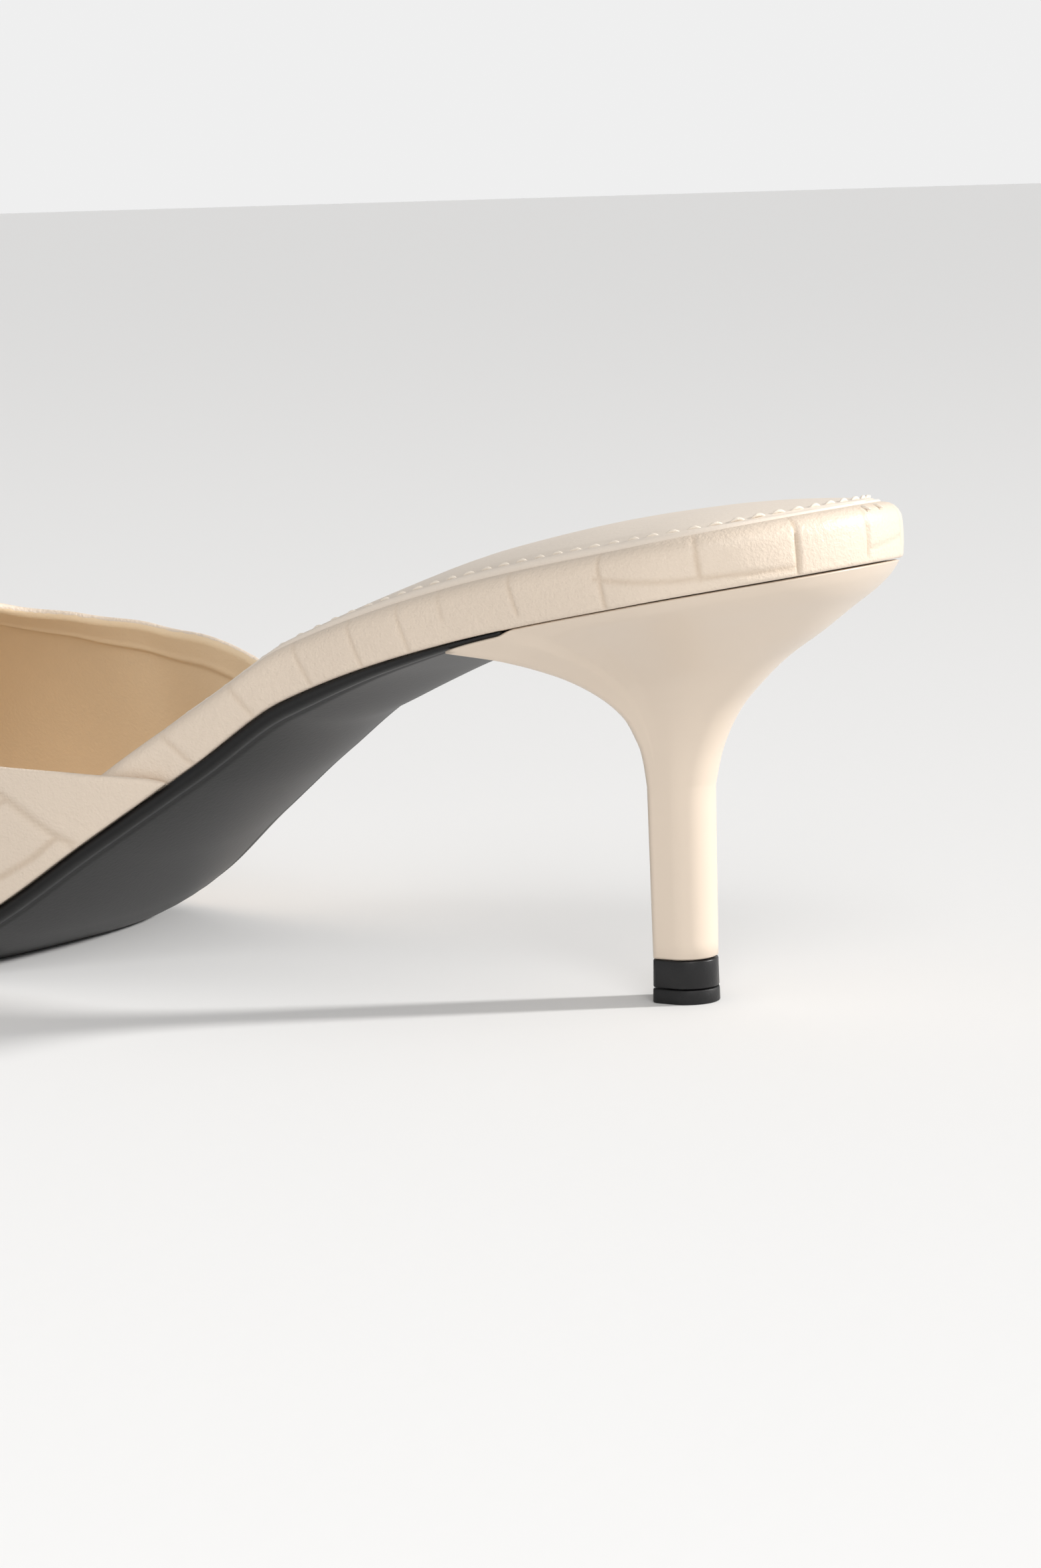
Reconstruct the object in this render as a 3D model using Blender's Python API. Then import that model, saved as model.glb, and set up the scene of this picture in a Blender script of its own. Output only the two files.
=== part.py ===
"""Heeled mule sandal, left shoe, standing on its sole.

Frame: +X to the toe, +Y to the outer (lateral) side, +Z up, metres. While the pieces are
made, X = 0 is the back of the heel seat and Y = 0 runs through the middle of the heel.
The last step moves the origin to the middle of the floor under the shoe.
"""
import math

import bmesh
import bpy
from mathutils import Vector

for old in list(bpy.data.objects):
    bpy.data.objects.remove(old, do_unlink=True)

# Driving dimensions of the last, metres
SHOE_LENGTH = 0.2445
HEEL_SEAT_WIDTH = 0.0512
WAIST_WIDTH = 0.0385
BALL_WIDTH = 0.0695
SEAT_RISE = 0.0617
FOREPART_RISE = 0.003
TOE_SPRING = 0.0078
TOE_SWING = 0.0045
ARCH_RAISE = 0.0005
INSTEP_HEIGHT = 0.0485
SIDE_BULGE = 0.0022

# Outsole
OUTSOLE_START = 0.0455
OUTSOLE_EDGE = 0.0017
OUTSOLE_BELLY = 0.0030
OUTSOLE_INSET = 0.0004
OUTSOLE_MARGIN = 0.0013

# Footbed and padded sock
BAND_THICKNESS = 0.0077
FOREPART_THICKNESS = 0.0042
BAND_TOP_RADIUS = 0.0026
BAND_FOOT_RADIUS = 0.0010
FOOTBED_TOE_GAP = 0.004
SOCK_INSET = 0.0028
SOCK_TOE_GAP = 0.016
SOCK_EDGE = 0.0008
SOCK_CROWN = 0.0042

# Upper
UPPER_WALL = 0.0016
CREST_SWING = 0.003

# Heel
SHAFT_BACK = 0.0270
SHAFT_LENGTH = 0.0083
SHAFT_WIDTH = 0.0088
SHAFT_TAPER = 0.95
SHAFT_TOP_SHARE = 0.49
LIP_FRONT = 0.0551
LIP_THICKNESS = 0.0003
LIP_SCOOP = 0.0085
HEEL_INSET = 0.0005
COLLAR_HEIGHT = 0.0040
LIFT_HEIGHT = 0.0021

# Clearance between touching pieces
GAP = 0.0003
WRAP_GAP = 0.0007

# Station is a share of the length, from the back of the heel. The two width shares are
# of the named width, from the spine of the sole to its outer and its inner edge.
OUTLINE = (
    # station, named width, outer share, inner share
    (0.000, HEEL_SEAT_WIDTH, 0.500, 0.500),
    (0.119, HEEL_SEAT_WIDTH, 0.500, 0.495),
    (0.227, HEEL_SEAT_WIDTH, 0.457, 0.415),
    (0.349, WAIST_WIDTH, 0.535, 0.505),
    (0.423, WAIST_WIDTH, 0.590, 0.510),
    (0.473, WAIST_WIDTH, 0.685, 0.570),
    (0.537, BALL_WIDTH, 0.430, 0.395),
    (0.606, BALL_WIDTH, 0.482, 0.490),
    (0.694, BALL_WIDTH, 0.505, 0.520),
    (0.763, BALL_WIDTH, 0.500, 0.525),
    (1.000, BALL_WIDTH, 0.480, 0.510),
)

# Rise of the feather edge: share of the way from the forepart up to the heel seat
PROFILE = (
    # station, share of the rise
    (0.000, 1.000),
    (0.104, 0.925),
    (0.227, 0.821),
    (0.349, 0.661),
    (0.411, 0.489),
    (0.473, 0.307),
    (0.547, 0.103),
    (0.595, 0.020),
    (0.645, 0.000),
    (1.000, 0.000),
)

# Outer height of the last over the feather edge, as a share of the instep height
INSTEP = (
    # station, share of the instep height
    (0.389, 1.255),
    (0.507, 1.253),
    (0.586, 1.202),
    (0.636, 1.120),
    (0.701, 1.000),
    (0.763, 0.850),
    (0.832, 0.680),
    (0.901, 0.510),
    (0.961, 0.370),
    (1.000, 0.300),
)

# Topline from the outer rear corner over the throat to the inner rear corner. The rise is
# a share of the last's height at that station.
TOPLINE = (
    # station, share of the height, side
    (0.422, 0.000, 1),
    (0.467, 0.150, 1),
    (0.526, 0.332, 1),
    (0.587, 0.508, 1),
    (0.636, 0.678, 1),
    (0.677, 0.860, 1),
    (0.701, 1.000, 1),
    (0.683, 0.925, -1),
    (0.645, 0.842, -1),
    (0.599, 0.741, -1),
    (0.546, 0.594, -1),
    (0.477, 0.314, -1),
    (0.407, 0.000, -1),
)

# Outsole thickness and the shape of its underside along its length
UNDERSIDE = (
    # station, share of edge, share of belly, roundness
    (0.000, 0.22, 0.10, 2.0),
    (0.192, 0.25, 0.12, 2.0),
    (0.271, 0.65, 0.36, 2.0),
    (0.349, 1.00, 0.95, 2.0),
    (0.473, 1.00, 1.00, 2.2),
    (0.566, 1.00, 1.00, 3.0),
    (0.605, 1.00, 0.98, 4.0),
    (0.645, 1.00, 0.60, 5.0),
    (0.783, 1.00, 0.54, 5.0),
    (1.000, 1.00, 0.50, 4.0),
)

# Flanks of the heel between the shaft and the seat: shares of the way out
FLANKS = (
    # share of the height, back, side, breast
    (0.00, 0.000, 0.000, 0.000),
    (0.14, 0.040, 0.025, 0.005),
    (0.25, 0.092, 0.060, 0.008),
    (0.36, 0.170, 0.110, 0.026),
    (0.48, 0.300, 0.185, 0.050),
    (0.58, 0.430, 0.270, 0.100),
    (0.70, 0.630, 0.440, 0.170),
    (0.81, 0.790, 0.650, 0.260),
    (0.89, 0.905, 0.830, 0.380),
    (0.95, 0.965, 0.950, 0.560),
    (1.00, 1.000, 1.000, 1.000),
)

# Thickness of the footbed and crown of the sock along the shoe
PADDING = (
    # station, share from band to forepart thickness, share of the sock's crown
    (0.000, 0.00, 0.20),
    (0.073, 0.00, 0.66),
    (0.162, 0.00, 0.95),
    (0.227, 0.00, 1.00),
    (0.290, 0.00, 0.70),
    (0.369, -0.06, 0.18),
    (0.430, -0.28, 0.12),
    (0.487, -0.22, 0.08),
    (0.645, 1.00, 0.12),
    (1.000, 1.00, 0.12),
)

# How the outline closes at the pointed toe
TOE_START = 0.749
TOE_POWER = 2.0
TOE_FULLNESS = 0.72
TOE_HEIGHT_START = 0.931

# Superellipse powers of the last's cross-section
SIDE_POWER = 0.85
HEIGHT_POWER = 0.90

SECTION_PITCH = 0.0075
END_OFFSETS = (0.0004, 0.0016, 0.0037)
ACROSS = (1.0, 0.94, 0.82, 0.62, 0.34, 0.0, -0.34, -0.62, -0.82, -0.94, -1.0)


def read_table(rows, column, place):
    """Value of one column at a place, on a smooth curve that never overshoots its rows."""
    last = len(rows) - 1
    if place <= rows[0][0]:
        return rows[0][column]
    if place >= rows[last][0]:
        return rows[last][column]
    i = max(k for k in range(last) if rows[k][0] <= place)

    def slope(k):
        return (rows[k + 1][column] - rows[k][column]) / (rows[k + 1][0] - rows[k][0])

    def tangent(k):
        if k == 0:
            return slope(0)
        if k == last:
            return slope(last - 1)
        before = slope(k - 1)
        after = slope(k)
        if before * after <= 0.0:
            return 0.0
        return 2.0 * before * after / (before + after)

    width = rows[i + 1][0] - rows[i][0]
    t = (place - rows[i][0]) / width
    rise = (1.0 + 2.0 * t) * (1.0 - t) ** 2 * rows[i][column]
    rise += t * t * (3.0 - 2.0 * t) * rows[i + 1][column]
    rise += t * (1.0 - t) ** 2 * width * tangent(i)
    rise -= t * t * (1.0 - t) * width * tangent(i + 1)
    return rise


def ease(low, high, value):
    """Smooth step from 0 at low to 1 at high."""
    t = min(1.0, max(0.0, (value - low) / (high - low)))
    return t * t * (3.0 - 2.0 * t)


def spine(x):
    """Sideways place of the sole's middle line, which swings to the inner side at the toe."""
    return -TOE_SWING * ease(0.62, 1.0, x / SHOE_LENGTH)


WIDTH_ROWS = tuple((row[0], row[1] * row[2], row[1] * row[3]) for row in OUTLINE)


def half_width(x, side, outset):
    """Distance from the spine to the edge, for an outline moved outward by outset."""
    column = 1 if side > 0 else 2
    width = read_table(WIDTH_ROWS, column, x / SHOE_LENGTH) + outset
    heel_centre = HEEL_SEAT_WIDTH / 2
    if x < heel_centre:
        turn = (heel_centre - x) / (heel_centre + outset)
        width *= math.sqrt(max(0.0, 1.0 - turn * turn))
    toe_start = TOE_START * SHOE_LENGTH
    if x > toe_start:
        turn = min(1.0, (x - toe_start) / (SHOE_LENGTH + outset - toe_start))
        width *= (1.0 - turn ** TOE_POWER) ** TOE_FULLNESS
    return width


def edge_y(x, side, outset):
    """Y of the outline on one side."""
    return spine(x) + side * half_width(x, side, outset)


def feather_z(x, y):
    """Height of the surface between the outsole and the footbed."""
    station = x / SHOE_LENGTH
    share = read_table(PROFILE, 1, station)
    height = FOREPART_RISE + (SEAT_RISE - FOREPART_RISE) * share
    toe = max(0.0, station - 0.76) / 0.24
    height += TOE_SPRING * toe * toe
    arch = ease(0.24, 0.42, station) * (1.0 - ease(0.44, 0.62, station))
    inward = max(0.0, spine(x) - y) / max(1e-6, half_width(x, -1, 0.0))
    return height + ARCH_RAISE * arch * min(1.0, inward) ** 2


def outsole_margin(x):
    """How far the outsole's edge stands out from the footbed's outline."""
    wrap = ease(0.38, 0.45, x / SHOE_LENGTH)
    return -OUTSOLE_INSET + (OUTSOLE_MARGIN + OUTSOLE_INSET) * wrap


def underside_z(x, y):
    """Height of the outsole's underside, cut flat by the floor."""
    station = x / SHOE_LENGTH
    side = 1 if y > spine(x) else -1
    reach = half_width(x, side, outsole_margin(x))
    across = min(1.0, abs(y - spine(x)) / max(1e-6, reach))
    edge = OUTSOLE_EDGE * read_table(UNDERSIDE, 1, station)
    belly = OUTSOLE_BELLY * read_table(UNDERSIDE, 2, station)
    roundness = read_table(UNDERSIDE, 3, station)
    height = feather_z(x, y) - GAP / 2 - edge - belly * (1.0 - across ** roundness)
    return max(0.0, height)


def footbed_thickness(x):
    """Thickness of the footbed, full in the heel and waist and thinner inside the upper."""
    thin = read_table(PADDING, 1, x / SHOE_LENGTH)
    return BAND_THICKNESS + (FOREPART_THICKNESS - BAND_THICKNESS) * thin


def footbed_top_z(x, y):
    """Height of the footbed's top surface."""
    return feather_z(x, y) + GAP / 2 + footbed_thickness(x)


def sections(start, end, round_start, round_end):
    """Stations of one piece. All pieces share the same pitch, so that their facets line up."""
    places = [start]
    if round_start:
        places += [start + offset for offset in END_OFFSETS]
    low = places[-1] + SECTION_PITCH / 4
    high = end - (END_OFFSETS[-1] if round_end else 0.0) - SECTION_PITCH / 4
    steps = range(int(SHOE_LENGTH / SECTION_PITCH) + 1)
    places += [k * SECTION_PITCH for k in steps if low < k * SECTION_PITCH < high]
    if round_end:
        places += [end - offset for offset in reversed(END_OFFSETS)]
    return places + [end]


def new_material(name, colour, roughness, coat):
    """A plain opaque material."""
    material = bpy.data.materials.new(name)
    material.use_nodes = True
    shader = material.node_tree.nodes["Principled BSDF"]
    shader.inputs["Base Color"].default_value = (*colour, 1.0)
    shader.inputs["Roughness"].default_value = roughness
    shader.inputs["Metallic"].default_value = 0.0
    shader.inputs["Coat Weight"].default_value = coat
    return material


EMBOSSED_LEATHER = new_material("embossed_leather", (0.71, 0.61, 0.49), 0.48, 0.15)
SMOOTH_LEATHER = new_material("smooth_leather", (0.71, 0.60, 0.47), 0.55, 0.0)
LACQUER = new_material("cream_lacquer", (0.68, 0.58, 0.47), 0.34, 0.3)
SOLE_RUBBER = new_material("black_moulded_sole", (0.018, 0.018, 0.020), 0.42, 0.0)
TIP_PLASTIC = new_material("black_tip_plastic", (0.020, 0.020, 0.022), 0.30, 0.2)
LIFT_RUBBER = new_material("black_lift_rubber", (0.015, 0.015, 0.016), 0.55, 0.0)


def make_object(name, rings, material, first_cap, last_cap):
    """Closed solid from a run of rings. A cap of None closes its end with one flat face."""
    mesh_data = bmesh.new()
    loops = [[mesh_data.verts.new(point) for point in ring] for ring in rings]
    count = len(loops[0])
    for lower, upper in zip(loops, loops[1:]):
        for k in range(count):
            following = (k + 1) % count
            mesh_data.faces.new((lower[k], lower[following], upper[following], upper[k]))
    for loop, cap in ((loops[0], first_cap), (loops[-1], last_cap)):
        if cap is None:
            mesh_data.faces.new(loop)
            continue
        tip = mesh_data.verts.new(cap)
        for k in range(count):
            mesh_data.faces.new((loop[k], loop[(k + 1) % count], tip))
    return finish_object(name, mesh_data, material)


def finish_object(name, mesh_data, material):
    """Turn the faces outward, triangulate and link the object."""
    bmesh.ops.recalc_face_normals(mesh_data, faces=mesh_data.faces)
    bmesh.ops.triangulate(mesh_data, faces=mesh_data.faces)
    if mesh_data.calc_volume(signed=True) < 0.0:
        bmesh.ops.reverse_faces(mesh_data, faces=mesh_data.faces)
    mesh = bpy.data.meshes.new(name)
    mesh_data.to_mesh(mesh)
    mesh_data.free()
    mesh.materials.append(material)
    mesh.shade_smooth()
    mesh.set_sharp_from_angle(angle=math.radians(40))
    piece = bpy.data.objects.new(name, mesh)
    bpy.context.scene.collection.objects.link(piece)
    return piece


def make_outsole():
    """Thin outsole: flat top, narrow edge, rounded belly, flat spot under the ball."""
    end = SHOE_LENGTH + OUTSOLE_MARGIN
    rings = []
    for x in sections(OUTSOLE_START, end, False, True)[:-1]:
        margin = outsole_margin(x)
        top = []
        bottom = []
        for across in ACROSS:
            side = 1 if across > 0 else -1
            y = spine(x) + across * half_width(x, side, margin)
            top.append(Vector((x, y, feather_z(x, y) - GAP / 2)))
            bottom.append(Vector((x, y, underside_z(x, y))))
        rings.append(top + bottom[::-1])
    tip_z = feather_z(end, 0.0) - GAP / 2 - OUTSOLE_EDGE / 2
    return make_object("outsole", rings, SOLE_RUBBER, None, (end, spine(end), tip_z))


def band_section(x, y_outer, y_inner):
    """Ring of the footbed: flat underside, small foot radius, full round top edge."""
    thickness = footbed_thickness(x)
    width = abs(y_outer - y_inner)
    top_radius = min(BAND_TOP_RADIUS, 0.3 * width, 0.6 * thickness)
    foot_radius = min(BAND_FOOT_RADIUS, 0.1 * width)
    corner = 1.0 - math.sqrt(0.5)
    profile = (
        (foot_radius, 0.0),
        (0.0, foot_radius),
        (0.0, thickness - top_radius),
        (corner * top_radius, thickness - corner * top_radius),
        (top_radius, thickness),
    )
    outer = []
    inner = []
    for inward, up in profile:
        for edge, side, y_edge in ((outer, 1, y_outer), (inner, -1, y_inner)):
            y = y_edge - side * inward
            edge.append(Vector((x, y, feather_z(x, y) + GAP / 2 + up)))
    middle = (y_outer + y_inner) / 2
    flat = [middle + across * (width / 2 - top_radius) for across in ACROSS[1:-1]]
    top = [Vector((x, y, footbed_top_z(x, y))) for y in flat]
    bottom = [Vector((x, y, feather_z(x, y) + GAP / 2)) for y in flat]
    return outer + top + inner[::-1] + bottom[::-1]


def make_footbed():
    """Insole board wrapped in its band."""
    end = SHOE_LENGTH - FOOTBED_TOE_GAP
    rings = []
    for x in sections(0.0, end, True, True)[1:-1]:
        outline_x = x + ease(TOE_START, 1.0, x / end) * FOOTBED_TOE_GAP
        y_outer = edge_y(outline_x, 1, 0.0)
        y_inner = edge_y(outline_x, -1, 0.0)
        rings.append(band_section(x, y_outer, y_inner))
    back = (0.0, 0.0, feather_z(0.0, 0.0) + GAP / 2 + BAND_THICKNESS * 0.45)
    front_z = feather_z(end, 0.0) + GAP / 2 + FOREPART_THICKNESS * 0.45
    return make_object("footbed", rings, EMBOSSED_LEATHER, back, (end, spine(end), front_z))


def make_sock():
    """Padded insole cover, crowned most under the heel."""
    start = SOCK_INSET
    end = SHOE_LENGTH - SOCK_TOE_GAP
    rings = []
    for x in sections(start, end, True, True)[1:-1]:
        forward = ease(TOE_START, 1.0, x / end) * (SHOE_LENGTH - SOCK_INSET - end)
        outline_x = x + forward
        y_outer = edge_y(outline_x, 1, -SOCK_INSET)
        y_inner = edge_y(outline_x, -1, -SOCK_INSET)
        crown = SOCK_CROWN * read_table(PADDING, 2, x / SHOE_LENGTH)
        crown *= min(1.0, abs(y_outer - y_inner) / HEEL_SEAT_WIDTH)
        top = []
        bottom = []
        for across in ACROSS:
            share = (across + 1.0) / 2.0
            y = y_inner + (y_outer - y_inner) * share
            base = footbed_top_z(x, y) + GAP
            top.append(Vector((x, y, base + SOCK_EDGE + crown * (1.0 - abs(across) ** 2.2))))
            bottom.append(Vector((x, y, base)))
        rings.append(top + bottom[::-1])
    back_z = footbed_top_z(start, 0.0) + GAP + SOCK_EDGE / 2
    front_z = footbed_top_z(end, 0.0) + GAP + SOCK_EDGE / 2
    back = (start, 0.0, back_z)
    return make_object("sock", rings, SMOOTH_LEATHER, back, (end, spine(end), front_z))


def last_point(x, angle, outset, tip):
    """Point of the last's surface at a station and an angle from the outer feather edge."""
    station = x / SHOE_LENGTH
    side = 1 if angle < math.pi / 2 else -1
    width = half_width(x, side, outset)
    crest = -CREST_SWING * ease(1.0, 0.80, station)
    height = INSTEP_HEIGHT * read_table(INSTEP, 1, station) - UPPER_WALL - WRAP_GAP + outset
    toe_start = TOE_HEIGHT_START * SHOE_LENGTH
    if x > toe_start:
        turn = min(1.0, (x - toe_start) / (tip - toe_start))
        height *= math.sqrt(1.0 - turn * turn)
    reach = abs(math.cos(angle)) ** SIDE_POWER
    bulge = SIDE_BULGE * abs(math.sin(2.0 * angle)) * min(1.0, 2.0 * width / BALL_WIDTH)
    y = spine(x) + crest + side * ((width - side * crest) * reach + bulge)
    across = (1.0 - math.cos(angle)) / 2.0
    outer_base = feather_z(x, edge_y(x, 1, 0.0))
    inner_base = feather_z(x, edge_y(x, -1, 0.0))
    base = outer_base + (inner_base - outer_base) * across + GAP / 2
    return Vector((x, y, base + height * math.sin(angle) ** HEIGHT_POWER))


def topline(share):
    """Station and angle of the topline at a share of its run."""
    rows = []
    for k, (station, rise, side) in enumerate(TOPLINE):
        lean = math.asin(min(1.0, rise ** (1.0 / HEIGHT_POWER)))
        rows.append((k / (len(TOPLINE) - 1), station, lean if side > 0 else math.pi - lean))
    return read_table(rows, 1, share) * SHOE_LENGTH, read_table(rows, 2, share)


def make_upper():
    """Hollow vamp: outer and inner skins joined along the topline and the feather edge."""
    columns = 36
    rows = 18
    mesh_data = bmesh.new()
    skins = []
    for outset in (WRAP_GAP + UPPER_WALL, WRAP_GAP):
        tip = SHOE_LENGTH + outset
        skin = []
        for column in range(columns + 1):
            start, angle = topline(column / columns)
            run = []
            for row in range(rows):
                forward = 1.0 - (1.0 - row / rows) ** 1.7
                place = last_point(start + (tip - start) * forward, angle, outset, tip)
                run.append(mesh_data.verts.new(place))
            skin.append(run)
        tip_place = last_point(tip, 0.0, outset, tip)
        skins.append((skin, mesh_data.verts.new(tip_place)))
    for (skin, tip_vertex), flip in zip(skins, (False, True)):
        for column in range(columns):
            near = skin[column]
            far = skin[column + 1]
            for row in range(rows - 1):
                face = [near[row], near[row + 1], far[row + 1], far[row]]
                mesh_data.faces.new(face[::-1] if flip else face)
            face = [near[-1], tip_vertex, far[-1]]
            mesh_data.faces.new(face[::-1] if flip else face)
    outer, outer_tip = skins[0]
    inner, inner_tip = skins[1]
    for column in range(columns):
        mesh_data.faces.new(
            (outer[column][0], outer[column + 1][0], inner[column + 1][0], inner[column][0])
        )
    for column in (0, columns):
        for row in range(rows - 1):
            mesh_data.faces.new(
                (
                    outer[column][row],
                    outer[column][row + 1],
                    inner[column][row + 1],
                    inner[column][row],
                )
            )
        mesh_data.faces.new((outer[column][-1], outer_tip, inner_tip, inner[column][-1]))
    return finish_object("upper", mesh_data, EMBOSSED_LEATHER)


def shaft_ring(scale):
    """D-shaped ring of the shaft: round back, straight sides, flat breast with soft corners."""
    half = SHAFT_WIDTH / 2 * scale
    middle = SHAFT_BACK + SHAFT_LENGTH / 2
    back = middle - SHAFT_LENGTH / 2 * scale
    front = middle + SHAFT_LENGTH / 2 * scale
    corner = 0.0012 * scale
    return d_ring(back, front, half, half, corner, half)


def d_ring(back, front, outer, inner, corner, back_radius):
    """Points of a D: front edge with two soft corners, sides, and a half round back."""
    points = []
    for share in (1.0, 0.5, 0.0, -0.5, -1.0):
        reach = (outer if share > 0 else inner) - corner
        points.append((front, share * reach))
    for turn in (45.0, 90.0):
        angle = math.radians(turn)
        points.append(
            (front - corner * (1.0 - math.cos(angle)), -inner + corner * (1.0 - math.sin(angle)))
        )
    centre = back + back_radius
    for share in (0.25, 0.5, 0.75):
        points.append((front - corner + (centre - front + corner) * share, -inner))
    for step in range(15):
        angle = math.pi / 2 + math.pi * step / 14
        reach = inner if step < 7 else outer
        points.append((centre + back_radius * math.cos(angle), -reach * math.sin(angle)))
    for share in (0.75, 0.5, 0.25):
        points.append((front - corner + (centre - front + corner) * share, outer))
    for turn in (90.0, 45.0):
        angle = math.radians(turn)
        points.append(
            (front - corner * (1.0 - math.cos(angle)), outer - corner * (1.0 - math.sin(angle)))
        )
    return points


def seat_ring():
    """Outline of the heel where it meets the footbed and the outsole."""
    outline = []
    raw = d_ring(HEEL_INSET, LIP_FRONT, 1.0, 1.0, 0.0, HEEL_SEAT_WIDTH / 2 - HEEL_INSET)
    for x, share in raw:
        side = 1 if share > 0 else -1
        outline.append((x, share, side))
    ring = []
    for x, share, side in outline:
        reach = half_width(x, side, -HEEL_INSET)
        if x <= HEEL_SEAT_WIDTH / 2:
            y = side * reach if abs(share) > 1e-6 else 0.0
        else:
            y = share * reach
        scoop = LIP_SCOOP * (1.0 - share * share) if x >= LIP_FRONT else 0.0
        ring.append((x - scoop, y))
    return ring


def make_heel():
    """Heel lofted from its seat to its shaft, cut to the footbed and the outsole."""
    tip_height = LIFT_HEIGHT + COLLAR_HEIGHT
    shaft_top = SHAFT_TOP_SHARE * SEAT_RISE
    seat = seat_ring()
    shaft = shaft_ring(1.0)
    foot = shaft_ring(SHAFT_TAPER)
    rings = [[Vector((x, y, tip_height + GAP)) for x, y in foot]]
    for share, *_ in FLANKS:
        ring = []
        for (seat_x, seat_y), (shaft_x, shaft_y) in zip(seat, shaft):
            drop = LIP_THICKNESS * ease(SHAFT_BACK + SHAFT_LENGTH, LIP_FRONT, seat_x)
            seat_z = feather_z(seat_x, seat_y) - GAP - drop
            if seat_x > OUTSOLE_START:
                seat_z = underside_z(seat_x, seat_y) - GAP - drop
            column = 3 if seat_x > shaft_x else 1
            x = shaft_x + (seat_x - shaft_x) * read_table(FLANKS, column, share)
            y = shaft_y + (seat_y - shaft_y) * read_table(FLANKS, 2, share)
            ring.append(Vector((x, y, shaft_top + (seat_z - shaft_top) * share)))
        rings.append(ring)
    rings.append([Vector((x, y, feather_z(x, y) + BAND_THICKNESS / 2)) for x, y in seat])
    heel = make_object("heel", rings, LACQUER, None, None)
    cut_to_seat(heel)
    return heel


def cut_to_seat(heel):
    """Take from the heel all that lies above the footbed's and the outsole's undersides."""
    step = OUTSOLE_START - 2.0 * GAP
    places = [-0.004 + (step + 0.004) * k / 8 for k in range(9)]
    places += [step + GAP + (LIP_FRONT + 0.006 - step) * k / 5 for k in range(6)]
    rings = []
    for x in places:
        low = []
        high = []
        for across in (1.3,) + ACROSS + (-1.3,):
            inside = min(1.0, max(-1.0, across))
            side = 1 if inside > 0 else -1
            width = max(half_width(x, side, outsole_margin(x)), 0.012)
            y = spine(x) + across * width
            edge = spine(x) + inside * width
            z = feather_z(x, edge) - GAP / 2 if x <= step + GAP / 2 else underside_z(x, edge) - GAP
            low.append(Vector((x, y, z)))
            high.append(Vector((x, y, SEAT_RISE + 2.0 * BAND_THICKNESS)))
        rings.append(low + high[::-1])
    cutter = make_object("seat_cutter", rings, LACQUER, None, None)
    cutter.hide_render = True
    cutter.display_type = "WIRE"
    cut = heel.modifiers.new("seat", "BOOLEAN")
    cut.operation = "DIFFERENCE"
    cut.solver = "EXACT"
    cut.object = cutter


def make_tip_layer(name, low, high, low_scale, high_scale, material):
    """One flat layer under the shaft, of the shaft's own outline."""
    rings = [
        [Vector((x, y, low)) for x, y in shaft_ring(low_scale)],
        [Vector((x, y, high)) for x, y in shaft_ring(high_scale)],
    ]
    return make_object(name, rings, material, None, None)


def make_tip():
    """Black collar on the shaft and the wear layer under it."""
    make_tip_layer(
        "heel_tip",
        LIFT_HEIGHT + GAP / 2,
        LIFT_HEIGHT + COLLAR_HEIGHT,
        SHAFT_TAPER * 1.015,
        SHAFT_TAPER,
        TIP_PLASTIC,
    )
    make_tip_layer(
        "top_lift", 0.0, LIFT_HEIGHT - GAP / 2, SHAFT_TAPER * 1.03, SHAFT_TAPER * 1.02, LIFT_RUBBER
    )


def move_origin_under_middle():
    """Shift every mesh so that the origin lies on the floor under the middle of the shoe."""
    pieces = [piece for piece in bpy.data.objects if not piece.hide_render]
    corners = [vertex.co for piece in pieces for vertex in piece.data.vertices]
    middle_x = (min(c.x for c in corners) + max(c.x for c in corners)) / 2
    middle_y = (min(c.y for c in corners) + max(c.y for c in corners)) / 2
    for piece in bpy.data.objects:
        for vertex in piece.data.vertices:
            vertex.co -= Vector((middle_x, middle_y, 0.0))


make_outsole()
make_footbed()
make_sock()
make_upper()
make_heel()
make_tip()
move_origin_under_middle()
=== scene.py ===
"""Looks of the heeled mule sandal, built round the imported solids.

The last is worked out from the same named sizes as the solids, in the shoe's own frame:
X = 0 at the back of the heel seat, Y = 0 through the middle of the heel, floor at Z = 0.
"""
import math
import random

import bmesh
import bpy
import numpy as np
from mathutils import Matrix, Vector


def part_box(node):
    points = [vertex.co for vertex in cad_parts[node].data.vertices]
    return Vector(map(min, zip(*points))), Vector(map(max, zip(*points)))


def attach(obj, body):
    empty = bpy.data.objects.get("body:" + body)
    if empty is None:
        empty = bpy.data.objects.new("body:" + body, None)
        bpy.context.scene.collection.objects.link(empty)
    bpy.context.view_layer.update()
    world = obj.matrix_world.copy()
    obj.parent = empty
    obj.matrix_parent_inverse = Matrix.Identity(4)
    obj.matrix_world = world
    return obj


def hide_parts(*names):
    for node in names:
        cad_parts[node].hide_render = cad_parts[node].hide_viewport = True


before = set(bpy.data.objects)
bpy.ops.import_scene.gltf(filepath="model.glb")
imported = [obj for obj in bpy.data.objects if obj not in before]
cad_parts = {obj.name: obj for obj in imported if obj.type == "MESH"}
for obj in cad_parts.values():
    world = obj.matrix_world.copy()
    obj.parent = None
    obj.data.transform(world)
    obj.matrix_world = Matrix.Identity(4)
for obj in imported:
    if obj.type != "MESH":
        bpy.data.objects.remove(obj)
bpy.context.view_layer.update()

# Sizes of the last and of the pieces, metres, as in the part's source
SHOE_LENGTH = 0.2445
HEEL_SEAT_WIDTH = 0.0512
WAIST_WIDTH = 0.0385
BALL_WIDTH = 0.0695
SEAT_RISE = 0.0617
FOREPART_RISE = 0.003
TOE_SPRING = 0.0078
TOE_SWING = 0.0045
ARCH_RAISE = 0.0005
INSTEP_HEIGHT = 0.0485
SIDE_BULGE = 0.0022
OUTSOLE_START = 0.0455
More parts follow.
